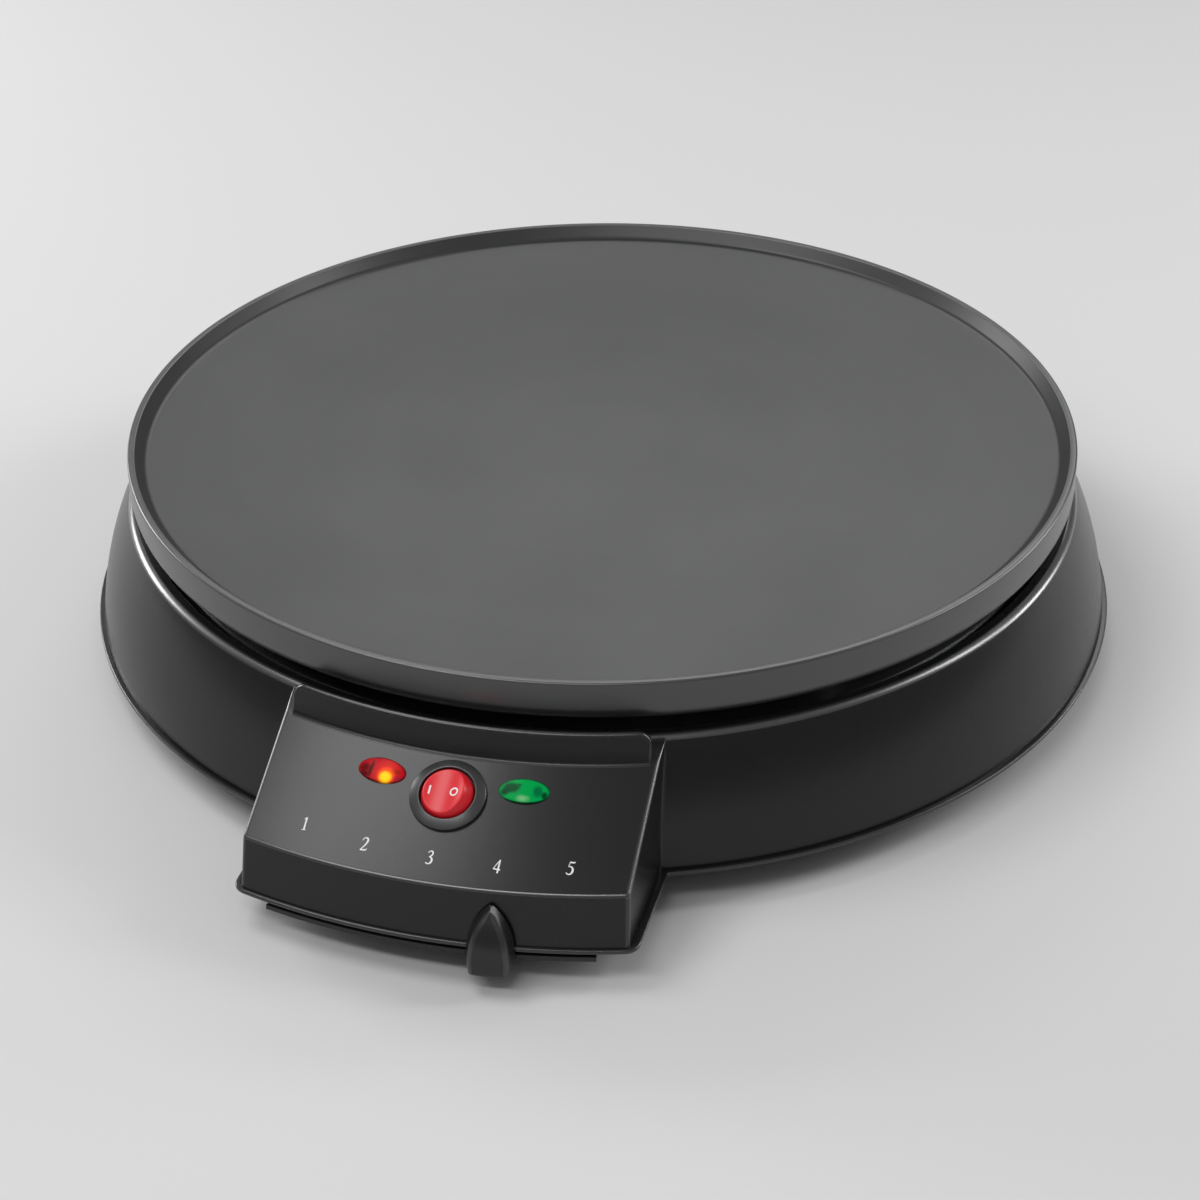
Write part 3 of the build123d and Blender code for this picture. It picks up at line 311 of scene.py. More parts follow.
def span(tree, value, low, high, fromLow=0.3, fromHigh=0.7):
    inputs = {
        "Value": value, "From Min": fromLow, "From Max": fromHigh, "To Min": low, "To Max": high,
    }
    return addNode(tree, "ShaderNodeMapRange", inputs).outputs["Result"]


def driftTone(tree, drift, dark, light):
    return blendColours(tree, span(tree, drift, 0.0, 1.0), dark, light)


def bumpFrom(tree, bsdf, height, depth, strength):
    inputs = {"Height": height, "Distance": depth * mm, "Strength": strength}
    feed(tree, addNode(tree, "ShaderNodeBump", inputs).outputs["Normal"], bsdf["Normal"])


edgePolish = {"Coat Roughness": 0.3, "Coat IOR": 1.8}


def polishEdges(tree, bsdf, amount):
    feed(tree, placeGroup(tree, edgeGroup, Amount=amount)["Mask"], bsdf["Coat Weight"])
    for socket, value in edgePolish.items():
        bsdf[socket].default_value = value


# what a look leaves out; depths of grain in mm
usual = {
    "dust": 0.12, "spread": 1.25, "drift": 0.04, "depth": 0.02, "specular": 0.5, "drifts": 40.0,
}
dustTint = {"lift": 0.12, "onMetal": (0.32, 0.3, 0.27)}


def mouldedFinish(name, look):
    # grained or smooth moulded plastic, rubber, ceramic and the like
    material, tree, bsdf = newMaterial(name)
    look = {**usual, **look}
    grain = placeGroup(tree, grainGroup, Grains_Per_Metre=look["grains"], Drifts_Per_Metre=14.0)
    dust = placeGroup(tree, dustGroup, Amount=look["dust"])["Mask"]
    light = tuple(c * look["spread"] for c in look["colour"])
    body = driftTone(tree, grain["Drift"], look["colour"], light)
    dusty = tuple(c + dustTint["lift"] for c in light)
    feed(tree, blendColours(tree, dust, body, dusty), bsdf["Base Color"])
    rough, drift = look["rough"], look["drift"]
    feed(tree, span(tree, grain["Drift"], rough - drift, rough + drift), bsdf["Roughness"])
    bumpFrom(tree, bsdf, grain["Height"], look["depth"], 0.5)
    bsdf["Specular IOR Level"].default_value = look["specular"]
    if "edge" in look:
        polishEdges(tree, bsdf, look["edge"])
    return material


def metalFinish(name, look):
    # rolled, drawn or plated metal: fine grain with soft blotches
    material, tree, bsdf = newMaterial(name)
    look = {**usual, **look}
    grain = placeGroup(tree, grainGroup, Grains_Per_Metre=2400.0, Drifts_Per_Metre=look["drifts"])
    dust = placeGroup(tree, dustGroup, Amount=0.2)["Mask"]
    body = driftTone(tree, grain["Drift"], look["colour"], look["stain"])
    feed(tree, blendColours(tree, dust, body, dustTint["onMetal"]), bsdf["Base Color"])
    rough = look["rough"]
    feed(tree, span(tree, grain["Drift"], rough - 0.08, rough + 0.1), bsdf["Roughness"])
    feed(tree, span(tree, dust, 1.0, 0.2, 0.0, 0.5), bsdf["Metallic"])
    bumpFrom(tree, bsdf, grain["Height"], look["depth"], 0.4)
    return material


def tonedFinish(name, look):
    # one tone drifting into another, for small clean pieces
    material, tree, bsdf = newMaterial(name)
    fine, slow = look["grains"]
    grain = placeGroup(tree, grainGroup, Grains_Per_Metre=fine, Drifts_Per_Metre=slow)
    feed(tree, driftTone(tree, grain["Drift"], *look["colours"]), bsdf["Base Color"])
    feed(tree, span(tree, grain["Drift"], *look["rough"]), bsdf["Roughness"])
    if "strength" in look:
        bumpFrom(tree, bsdf, grain["Height"], 0.01, look["strength"])
    for socket, value in look.get("sockets", {}).items():
        bsdf[socket].default_value = value
    return material


plateLook = {
    "dark": (0.0165, 0.0168, 0.0178), "bright": (0.02, 0.0204, 0.0215), "rough": (0.345, 0.38),
    "rings": 1500.0, "waver": 1.4, "grains": (2600.0, 20.0), "depth": 0.025, "edge": 0.6,
}


def plateFinish(name, look):
    # dark non-stick coat over the turned casting
    material, tree, bsdf = newMaterial(name)
    count, (fine, slow) = look["rings"], look["grains"]
    rings = placeGroup(tree, ringGroup, Rings_Per_Metre=count, Axis_Y=axisY, Waver=look["waver"])
    grain = placeGroup(tree, grainGroup, Grains_Per_Metre=fine, Drifts_Per_Metre=slow)
    feed(tree, driftTone(tree, rings["Bands"], look["dark"], look["bright"]), bsdf["Base Color"])
    feed(tree, span(tree, grain["Drift"], *look["rough"]), bsdf["Roughness"])
    turned = mathNode(tree, "MULTIPLY", rings["Rings"], 0.8)
    cast = mathNode(tree, "MULTIPLY", grain["Height"], 0.5)
    bumpFrom(tree, bsdf, mathNode(tree, "ADD", turned, cast), look["depth"], 0.6)
    polishEdges(tree, bsdf, look["edge"])
    return material


mouldedLooks = {
    "housingPlastic": {
        "colour": (0.0055, 0.0056, 0.0062), "rough": 0.27, "specular": 0.4, "grains": 2200.0,
        "drift": 0.012, "spread": 1.1, "dust": 0.03, "edge": 1.0,
    },
    "coverPlastic": {
        "colour": (0.009, 0.009, 0.0095), "rough": 0.5, "grains": 1500.0, "depth": 0.04,
    },
    "knobPlastic": {
        "colour": (0.009, 0.009, 0.0098), "rough": 0.28, "grains": 2500.0, "depth": 0.012,
        "edge": 1.0,
    },
    "switchBlack": {
        "colour": (0.013, 0.0132, 0.0138), "rough": 0.32, "grains": 2500.0, "depth": 0.01,
        "dust": 0.02, "edge": 0.4,
    },
    "whiteCeramic": {
        "colour": (0.72, 0.69, 0.62), "rough": 0.3, "spread": 1.08, "grains": 1400.0, "depth": 0.03,
    },
    "brownPhenolic": {"colour": (0.085, 0.045, 0.025), "rough": 0.42, "grains": 1600.0},
    "whiteNylon": {"colour": (0.62, 0.6, 0.54), "rough": 0.4, "spread": 1.1, "grains": 1200.0},
    "footRubber": {
        "colour": (0.022, 0.022, 0.022), "rough": 0.72, "specular": 0.35, "grains": 1100.0,
        "depth": 0.06,
    },
    "siliconeWire": {
        "colour": (0.44, 0.42, 0.39), "rough": 0.55, "specular": 0.4, "spread": 1.1,
        "grains": 1500.0,
    },
}
metalLooks = {
    "tubeSteel": {"colour": (0.22, 0.2, 0.18), "stain": (0.1, 0.08, 0.07), "rough": 0.42},
    "zincSteel": {"colour": (0.6, 0.6, 0.58), "stain": (0.46, 0.46, 0.42), "rough": 0.32},
    "sheetAluminium": {
        "colour": (0.66, 0.66, 0.67), "stain": (0.52, 0.53, 0.54), "rough": 0.34, "drifts": 9.0,
    },
    "contactBrass": {"colour": (0.62, 0.44, 0.17), "stain": (0.42, 0.28, 0.1), "rough": 0.3},
}
tonedLooks = {
    "rockerRed": {  # glossy, as if the light of its lamp came through
        "colours": ((0.66, 0.01, 0.018), (0.74, 0.014, 0.024)), "rough": (0.3, 0.36),
        "grains": (900.0, 120.0), "strength": 0.3, "sockets": {"Specular IOR Level": 0.45},
    },
    "printWhite": {  # pad-printed ink, a little uneven
        "colours": ((0.74, 0.74, 0.74), (0.86, 0.86, 0.86)), "rough": (0.4, 0.55),
        "grains": (5000.0, 500.0), "strength": 0.4,
    },
    "lampGlass": {  # neon bulb, faintly smoked near its seal
        "colours": ((0.9, 0.86, 0.8), (0.7, 0.62, 0.52)), "rough": (0.03, 0.12),
        "grains": (600.0, 150.0), "sockets": {"Transmission Weight": 0.85},
    },
}

# patches of painted light and shade are (x, y, half width, half height, softness, colour), in mm,
# from below upwards
lensLooks = {
    # rim is a painted dark outline of shade round each lens's edge
    "redLens": {
        "rim": (0.05, 0.004, 0.005), "ripple": 0.45, "tint": (0.46, 0.006, 0.014),
        "paintedLightAndShade": [
            (-5.3, -0.4, 1.5, 1.5, 0.4, (0.13, 0.005, 0.006)),
            (-3.2, -0.6, 0.6, 2.6, 0.4, (0.09, 0.008, 0.004)),
            (-4.6, -2.2, 1.7, 0.8, 0.4, (0.1, 0.003, 0.006)),
            (4.3, 0.3, 1.4, 0.7, 0.5, (0.2, 0.008, 0.006)),
            (5.2, -1.6, 1.0, 0.9, 0.5, (0.3, 0.004, 0.03)),
        ],
        "glows": [
            (1.8, -0.6, 3.0, 3.4, 0.6, (0.35, 0.02, 0.004)),
            (1.9, -1.6, 2.2, 2.2, 0.4, (0.75, 0.12, 0.0)),
            (1.9, -2.0, 1.75, 1.6, 0.3, (0.85, 0.7, 0.0)),
        ],
    },
    "greenLens": {
        "rim": (0.002, 0.04, 0.016), "ripple": 0.8, "tint": (0.001, 0.34, 0.07),
        "paintedLightAndShade": [
            (-3.9, 0.6, 2.4, 1.6, 0.3, (0.001, 0.075, 0.022)),
            (-5.6, -0.6, 1.2, 1.1, 0.4, (0.001, 0.06, 0.02)),
            (-1.4, 1.7, 0.5, 0.4, 0.5, (0.001, 0.1, 0.03)),
            (4.0, 0.1, 1.3, 1.6, 0.4, (0.001, 0.15, 0.045)),
            (6.0, -1.0, 0.8, 1.2, 0.4, (0.001, 0.06, 0.02)),
            # a pale patch of painted highlight
            (-0.3, -2.5, 1.5, 0.8, 0.6, (0.16, 0.5, 0.2)),
        ],
        "glows": [],
    },
}
lensShell = {
    "tint": (-0.1, -0.05, 7.2, 3.55, 0.06, 0.06),  # x, y, half width, half height, softness, ripple
    "glowRipple": 0.2, "rough": (0.12, 0.26), "bumps": 0.12, "specular": 0.04,
}


def lensFinish(name, look):
    # tinted lens: patches of painted shade, as if the dark of the housing showed through, a painted
    # dark rim, on the green lens a painted highlight, and a lamp may glow in it
    material, tree, bsdf = newMaterial(name)
    do = partial(mathNode, tree)
    face = addNode(tree, "ShaderNodeUVMap", uv_map="lensFace").outputs["UV"]
    spot = addNode(tree, "ShaderNodeSeparateXYZ", {0: face}).outputs
    drift = placeGroup(tree, grainGroup, Grains_Per_Metre=700.0, Drifts_Per_Metre=330.0)["Drift"]

    def patch(x, y, halfWidth, halfHeight, soft, ripple):
        offX = do("DIVIDE", do("SUBTRACT", spot["X"], x), halfWidth)
        offY = do("DIVIDE", do("SUBTRACT", spot["Y"], y), halfHeight)
        far = do("SQRT", do("ADD", do("MULTIPLY", offX, offX), do("MULTIPLY", offY, offY)))
        edge = do("ADD", far, do("MULTIPLY", do("SUBTRACT", drift, 0.5), ripple))
        return span(tree, edge, 1.0, 0.0, 1.0 - soft, 1.0 + soft)

    # painted shade: outside the tint's ellipse the lens takes its rim colour, a dark outline round
    # the edge
    colour = blendColours(tree, patch(*lensShell["tint"]), look["rim"], look["tint"])
    # patches of painted shade over the tint, and on the green lens a pale painted highlight
    for *place, shade in look["paintedLightAndShade"]:
        colour = blendColours(tree, patch(*place, look["ripple"]), colour, shade)
    feed(tree, colour, bsdf["Base Color"])
    glow = (0.0, 0.0, 0.0)
    for *place, shade in look["glows"]:
        glow = blendColours(tree, patch(*place, lensShell["glowRipple"]), glow, shade)
    if look["glows"]:
        feed(tree, glow, bsdf["Emission Color"])
        bsdf["Emission Strength"].default_value = 1.0
    feed(tree, span(tree, drift, *lensShell["rough"]), bsdf["Roughness"])
    bumpFrom(tree, bsdf, drift, lensShell["bumps"], 0.35)
    bsdf["Specular IOR Level"].default_value = lensShell["specular"]
    return material


finishes = {"plateCoating": plateFinish("plateCoating", plateLook)}
finishMakers = (mouldedFinish, metalFinish, tonedFinish, lensFinish)
for makeFinish, group in zip(finishMakers, (mouldedLooks, metalLooks, tonedLooks, lensLooks)):
    finishes.update({name: makeFinish(name, look) for name, look in group.items()})
print("finishes made:", len(finishes))

slotFinishes = {
    "plate_coating": "plateCoating", "housing_plastic": "housingPlastic",
    "cover_sheet": "coverPlastic", "knob_plastic": "knobPlastic",
    "red_lens": "redLens", "green_lens": "greenLens",
    "switch_black": "switchBlack", "rocker_red": "rockerRed", "lamp_glass": "lampGlass",
    "tube_steel": "tubeSteel", "zinc_steel": "zincSteel", "sheet_aluminium": "sheetAluminium",
    "ceramic": "whiteCeramic", "contact_brass": "contactBrass", "phenolic": "brownPhenolic",
    "white_nylon": "whiteNylon", "foot_rubber": "footRubber", "silicone_wire": "siliconeWire",
}
for part in frame["record"]["subparts"]:
    node = nodes[part["node"]]
    node.data.materials.clear()
    node.data.materials.append(slotFinish(part["material_slot"]))
print("CAD nodes finished")


def geometryTree(name, kinds):
    tree = bpy.data.node_groups.new(name, "GeometryNodeTree")
    for label, kind in {"Geometry": "Geometry", **kinds}.items():
        tree.interface.new_socket(label, in_out="INPUT", socket_type="NodeSocket" + kind)
    tree.interface.new_socket("Geometry", in_out="OUTPUT", socket_type="NodeSocketGeometry")
    return tree, addNode(tree, "NodeGroupInput").outputs


def endTree(tree, geometry, finish):
    real = addNode(tree, "GeometryNodeRealizeInstances", {"Geometry": geometry}).outputs[0]
    painted = addNode(tree, "GeometryNodeSetMaterial", {"Geometry": real, "Material": finish})
    addNode(tree, "NodeGroupOutput", {0: painted.outputs[0]})
    return tree


def makeTurnTree():
    # lays a flat strip of (radius, share of a turn, height) around an axis
    kinds = {"Weld": "Float", "Place": "Vector", "Tilt": "Rotation", "Finish": "Material"}
    tree, given = geometryTree("turnStrip", kinds)
    do = partial(mathNode, tree)
    spot = addNode(tree, "GeometryNodeInputPosition").outputs[0]
    strip = addNode(tree, "ShaderNodeSeparateXYZ", {0: spot}).outputs
    turn = do("MULTIPLY", strip["Y"], 2 * math.pi)
    across = do("MULTIPLY", strip["X"], do("SINE", turn))
    away = do("MULTIPLY", do("MULTIPLY", strip["X"], do("COSINE", turn)), -1.0)
    inputs = {"X": across, "Y": away, "Z": strip["Z"]}
    bent = addNode(tree, "ShaderNodeCombineXYZ", inputs).outputs[0]
    inputs = {"Geometry": given["Geometry"], "Position": bent}
    wrap = addNode(tree, "GeometryNodeSetPosition", inputs).outputs[0]
    inputs = {"Geometry": wrap, "Distance": given["Weld"]}
    weld = addNode(tree, "GeometryNodeMergeByDistance", inputs).outputs[0]
    inputs = {"Geometry": weld, "Translation": given["Place"], "Rotation": given["Tilt"]}
    return endTree(tree, addNode(tree, "GeometryNodeTransform", inputs).outputs[0], given["Finish"])


def giveInputs(modifier, values):
    # a modifier's inputs are set by socket identifier
    for item in modifier.node_group.interface.items_tree:
        if item.item_type == "SOCKET" and item.in_out == "INPUT" and item.name in values:
            modifier[item.identifier] = values[item.name]


def bakeNodes(holder, name):
    # the evaluated result as a plain mesh piece; the object with the modifier goes
    bpy.context.view_layer.update()
    shaped = holder.evaluated_get(bpy.context.evaluated_depsgraph_get())
    mesh = bpy.data.meshes.new_from_object(shaped)
    bpy.data.objects.remove(holder)
    mesh.name = name
    piece = bpy.data.objects.new(name, mesh)
    bpy.context.scene.collection.objects.link(piece)
    return piece


turnTree = makeTurnTree()


def turnedPiece(
    name, profile, steps, slotName,
    place=(0.0, axisY, 0.0), tilt=(0.0, 0.0, 0.0), tree=turnTree, **sizes,
):
    # sizes are further inputs of the tree
    points = [(r * mm, t, z * mm) for t in shares(steps, closed=True) for r, z in profile]
    holder = meshPiece(name + "Strip", points, loftFaces(steps + 1, len(profile), closed=False))
    modifier = holder.modifiers.new("turn", "NODES")
    modifier.node_group = tree
    given = {"Weld": weldGap, "Place": place, "Tilt": tilt, "Finish": slotFinish(slotName)}
    giveInputs(modifier, {**given, **sizes})
    return bakeNodes(holder, name)


plate = {
    "radius": 155.0, "rimHeight": 70.7, "rimWidth": 2.3, "rimRun": 3.2, "cookHeight": 66.7,
    "edgeHeight": 56.5, "edgeRound": 5.5, "underHeight": 61.2, "edgeWall": 8.0, "pocketRound": 1.5,
    "footRound": 1.0, "rimRounds": (0.7, 0.5), "cookRound": 2.0, "cuts": (0.66, 0.33), "steps": 288,
}


def makePlate():
    radius, cook, under = plate["radius"], plate["cookHeight"], plate["underHeight"]
    edge, top = plate["edgeHeight"], plate["rimHeight"]
    inner, rim = radius - plate["edgeWall"], radius - plate["rimWidth"]
    outerRound, innerRound = plate["rimRounds"]
    cookRadius = rim - plate["rimRun"]
    profile = roundedPath([
        (0, under, 0), (inner, under, plate["pocketRound"]), (inner, edge, plate["footRound"]),
        (radius, edge, plate["edgeRound"]), (radius, top, outerRound), (rim, top, innerRound),
        (cookRadius, cook, plate["cookRound"]),
        *((cookRadius * cut, cook, 0) for cut in plate["cuts"]), (0, cook, 0),
    ], steps=8)
    piece = turnedPiece("hotplateTurned", profile, plate["steps"], "plate_coating")
    return finishPiece(piece, "base", "plate_coating", ["hotplate"])


makePlate()
print("hotplate turned")

housing = {
    "foot": 12.0, "crest": 52.7, "wallFoot": 167.6, "shoulder": 155.5, "bulge": 2.3,
    "shoulderRound": 3.0, "wall": 2.5, "wallRise": 36.8, "deck": 47.5, "recess": 151.0,
    "recessEdge": 0.8, "opening": 122.0,
    "lip": {
        "radius": 169.2, "front": 204.0, "half": 60.5, "corner": 4.0, "thick": 1.4, "round": 0.4,
        "root": 1.0,
    },
    "boxFront": [(203.1, 12.0, 0), (199.75, 29.5, 1.5), (163.5, 48.75, 30.0), (153.3, 52.7, 0)],
    "boxInside": [(200.55, 12.0), (197.5, 27.9), (165.2, 45.0)], "innerRound": 0.5,
    "cheekFoot": 58.0, "cheekTop": 56.5, "edgeRound": 1.1, "slopeEdge": 2.3, "rootRound": 2.0,
    "slopeFrom": 29.0, "slopeBlend": 1.2,  # where the box's edges take on the slope's rounding
    "guards": {28.4, 30.1}, "cheekGuard": 0.985, "frontGuard": 0.99,  # they keep edges crisp
    "dullBelow": 28.5, "lowPolish": 0.4,  # the lip and upright corners are duller than the rest
    "steps": {
        "wall": 24, "circle": 84, "root": 8, "cheek": 3, "edge": 8, "front": 26, "inside": 12,
    },
}


def wallPath():
    # (radius, height) up the skirt's wall and over its rounded shoulder
    foot, crest, bulge, shoulder = (
        housing[key] for key in ("foot", "crest", "bulge", "shoulder")
    )
    run, rise = shoulder - housing["wallFoot"], crest - foot
    chord = math.hypot(run, rise)
    radius = (chord ** 2 / 4 + bulge ** 2) / (2 * bulge)
    back = (radius - bulge) / chord
    centreR = (shoulder + housing["wallFoot"]) / 2 - back * rise
    centreZ = (crest + foot) / 2 + back * run
    levels = [foot + housing["wallRise"] * t for t in shares(housing["steps"]["wall"], closed=True)]
    corners = [(centreR + math.sqrt(radius ** 2 - (z - centreZ) ** 2), z, 0) for z in levels]
    corners += [(shoulder, crest, housing["shoulderRound"]), (housing["recess"], crest, 0)]
    return [tuple(p) for p in roundedPath(corners, steps=10)][:-1]


def radiusAt(path, z):
    for (r0, z0), (r1, z1) in zip(path, path[1:]):
        if z0 <= z <= z1 and z1 > z0:
            return r0 + (r1 - r0) * (z - z0) / (z1 - z0)
    return path[0][0] if z < path[0][1] else path[-1][0]


def cheekAt(z):
    share = (z - housing["foot"]) / (housing["crest"] - housing["foot"])
    return housing["cheekFoot"] + (housing["cheekTop"] - housing["cheekFoot"]) * share


def planRing(circle, front, half, z, root, edgeAcross, edgeAlong):
    # the base from above at one height: a circle that carries the control box, from the back round
    steps = housing["steps"]
    front = max(front, circle)
    room = math.sqrt(front ** 2 - half ** 2) - math.sqrt(circle ** 2 - half ** 2)
    # the roundings shrink where the box is shallow
    fit = min(1.0, room / (1.5 * (root + edgeAlong) + 0.001))
    root, edgeAcross, edgeAlong = root * fit, edgeAcross * fit, edgeAlong * fit
    hollow = Vector((half + root, math.sqrt((circle + root) ** 2 - (half + root) ** 2)))
    meet = math.atan2(hollow.x, hollow.y)
    side = [circle * heading(math.pi + (meet - math.pi) * t) for t in shares(steps["circle"])]
    turns = [meet + math.pi + (math.pi / 2 - meet) * t for t in shares(steps["root"])]
    side += [hollow + root * heading(turn) for turn in turns]
    inner = half - edgeAcross
    start = Vector((inner, math.sqrt(front ** 2 - inner ** 2)))
    corner = Vector((half, start.y - edgeAcross * inner / start.y))
    end = Vector((half, corner.y - edgeAlong))
    cheek = Vector((half, hollow.y))
    side += [cheek.lerp(end, t) for t in shares(steps["cheek"]) + [housing["cheekGuard"]]]
    side += [bend(end, corner, start, t) for t in shares(steps["edge"])]
    swing = math.atan2(start.x, start.y)
    turns = [0, 1 - housing["frontGuard"]] + shares(steps["front"], closed=True, first=1)
    side += [front * heading(swing * (1 - t)) for t in turns]
    ring = side + [Vector((-p.x, p.y)) for p in reversed(side[1:-1])]
    return [at(p.x, -p.y, z) for p in ring]


def lipRings():
    # the lip at the foot, with its rounded edge
    lip, foot = housing["lip"], housing["foot"]
    soft, top = lip["round"], foot + lip["thick"]
    rounds = [(soft * (1 - math.sin(a)), foot + soft * (1 - math.cos(a))) for a in quarter(3)]
    rounds += [(soft * (1 - math.cos(a)), top - soft * (1 - math.sin(a))) for a in quarter(3)]
    rings = []
    for inset, z in rounds:
        sides = [lip[key] - inset for key in ("radius", "front", "half")]
        corner = lip["corner"] - inset
        rings.append(planRing(*sides, z, lip["root"], corner, corner))
    return rings, top


def makeHousing():
    walls, fronts = wallPath(), [tuple(p) for p in roundedPath(housing["boxFront"], steps=8)]
    crest, deck, opening, edge = (housing[key] for key in ("crest", "deck", "opening", "edgeRound"))
    rings, top = lipRings()
    levels = {round(z, 4) for _, z in walls + fronts if z > top + 0.05} | {top} | housing["guards"]
    for z in sorted(levels):
        slope = min(1.0, max(0.0, (z - housing["slopeFrom"]) / housing["slopeBlend"]))
        along = edge + (housing["slopeEdge"] - edge) * slope
        sides = radiusAt(walls, z), radiusAt(fronts, z), cheekAt(z)
        rings.append(planRing(*sides, z, housing["rootRound"], edge, along))
    recess, lowered, under = housing["recess"], housing["recessEdge"], deck - housing["wall"]
    inward = [(recess + lowered, crest), (recess, crest - lowered), (recess, deck)]
    for radius, z in inward + [(opening, deck), (opening, under)]:
        rings.append(planRing(radius, radius, cheekAt(crest), z, 0, 0, 0))
    wall, soft = housing["wall"], housing["innerRound"]
    for t in shares(housing["steps"]["inside"], closed=True):
        z = under + (housing["foot"] - under) * t
        sides = radiusAt(walls, z) - wall, radiusAt(housing["boxInside"], z), cheekAt(z) - wall
        rings.append(planRing(*sides, z, soft, soft, soft))
    rings.append(rings[0])
    faces = loftFaces(len(rings), len(rings[0]))
    piece = meshPiece("housingShell", [p for ring in rings for p in ring], faces)
    finishPiece(piece, "base", "housing_plastic", ["skirt_housing"], sharp=32)
    touch = piece.data.attributes["edgeTouch"].data
    for vert in piece.data.vertices:
        if vert.co.z < housing["dullBelow"] * mm:
            touch[vert.index].value *= housing["lowPolish"]


shield = {
    "half": 54.2, "corner": 4.5, "height": 8.9, "lean": 2.3, "thick": 2.0, "sink": 3.0,
    "round": 0.9, "endRound": 0.5, "softer": 0.8, "guard": 0.3,
    "root": [(0.9, -0.47), (0.4, -0.1), (0.1, 0.3), (0.0, 0.9)],  # (out, up) at its foot
    "steps": {"flat": 24, "corner": 14, "end": 4, "round": 6},
}


def shieldStations():
    # places along the wall, closer together round its top corners and at its ends
    half, corner, soft, steps = (shield[key] for key in ("half", "corner", "endRound", "steps"))
    flat = half - corner
    bends = [flat + corner * math.sin(math.pi / 2 * t) for t in shares(steps["corner"])]
    stations = [flat * t for t in shares(steps["flat"])] + [x for x in bends if x < half - soft]
    stations += [half - soft + soft * math.sin(turn) for turn in quarter(steps["end"])]
    return [-x for x in reversed(stations[1:])] + stations


def shieldSection(x):
    # (distance behind the front face, height) round the wall at one station
    foot = panel["topHeight"]
    drops = []
    for size in (shield["corner"], shield["endRound"]):
        past = max(0.0, abs(x) - shield["half"] + size) / size
        drops.append(size * (1 - math.sqrt(max(0.0, 1 - past ** 2))))
    top, inset = foot + shield["height"] - sum(drops), drops[1]
    soft, thick = shield["round"] - inset * shield["softer"], shield["thick"] - inset
    middle, low, guard = (foot + top) / 2, foot - shield["sink"], top - soft - shield["guard"]
    turns = quarter(shield["steps"]["round"])
    section = [(inset, low)] + [(inset - out, foot + up) for out, up in shield["root"]]
    section += [(inset, middle), (inset, guard)]
    section += [(inset + soft * (1 - math.cos(a)), top - soft * (1 - math.sin(a))) for a in turns]
    section += [(thick - soft * (1 - math.sin(a)), top - soft * (1 - math.cos(a))) for a in turns]
    return section + [(thick, guard), (thick, middle), (thick, low)]


def makeShield():
    # the low curved wall between the panel and the plate
    lean, points, stations = shield["lean"] / shield["height"], [], shieldStations()
    for x in stations:
        section = shieldSection(x)
        for back, z in section:
            radius = panel["topRadius"] - lean * (z - panel["topHeight"]) - back
            points.append(at(x, -math.sqrt(radius ** 2 - x ** 2), z))
    count = len(section)
    faces = loftFaces(len(stations), count)
    faces += [tuple(range(count)), tuple((len(stations) - 1) * count + i for i in range(count))]
    piece = meshPiece("heatShield", points, faces)
    return finishPiece(piece, "base", "housing_plastic", sharp=40, polish=0.3)


inletPad = {
    "back": 170.46, "height": 23.0, "steps": 96,
    "profile": [(0, -14.0, 0), (10.5, -14.0, 0), (10.5, 0.0, 0.4), (0, 0.0, 0)],
}


def makeInletPad():
    # the flat round pad that the cord gland sits on
    place, tilt = tuple(at(0, inletPad["back"], inletPad["height"])), (-math.pi / 2, 0.0, 0.0)
    profile = roundedPath(inletPad["profile"], steps=4)
    piece = turnedPiece("inletPad", profile, inletPad["steps"], "housing_plastic", place, tilt)
    return finishPiece(piece, "base", "housing_plastic")


makeHousing()
makeShield()
makeInletPad()
print("housing made")

feet = {
    "circle": 140.0, "angle": 40.0, "steps": 72,
    "profile": [
        (0, 0.5, 0), (2.9, 0.5, 0), (3.3, 0, 0.2), (4.6, 0, 0.2), (5.0, 0.5, 0), (6.2, 0.5, 0),
        (6.6, 0, 0.2), (9.5, 0, 0.8), (11.0, 10.0, 0.5), (4.0, 10.0, 0), (4.0, 12.0, 0),
        (5.2, 12.0, 0), (3.0, 14.0, 0), (0, 14.0, 0),
    ],
}


def makeFeetTree():
    # one turned foot, set on the four corners of a grid
    kinds = {"Weld": "Float", "Across": "Float", "Along": "Float"}
    kinds.update({"Place": "Vector", "Finish": "Material"})
    tree, given = geometryTree("setFeet", kinds)
    inputs = {label: given[label] for label in ("Geometry", "Weld", "Finish")}
    foot = addNode(tree, "GeometryNodeGroup", inputs, node_tree=turnTree).outputs[0]
    inputs = {"Vertices X": 2, "Vertices Y": 2, "Size X": given["Across"], "Size Y": given["Along"]}
    grid = addNode(tree, "GeometryNodeMeshGrid", inputs).outputs["Mesh"]
    inputs = {"Geometry": grid, "Translation": given["Place"]}
    corners = addNode(tree, "GeometryNodeTransform", inputs).outputs[0]
    spread = addNode(tree, "GeometryNodeInstanceOnPoints", {"Points": corners, "Instance": foot})
    return endTree(tree, spread.outputs[0], given["Finish"])


def makeFeet():
    turn, reach = math.radians(feet["angle"]), 2 * feet["circle"] * mm
    sizes = {"Across": reach * math.sin(turn), "Along": reach * math.cos(turn)}
    profile, tree = roundedPath(feet["profile"], steps=4), makeFeetTree()
    piece = turnedPiece("turnedFeet", profile, feet["steps"], "foot_rubber", tree=tree, **sizes)
    return finishPiece(piece, "base", "foot_rubber", ["rubber_feet"])


makeFeet()
print("feet made")

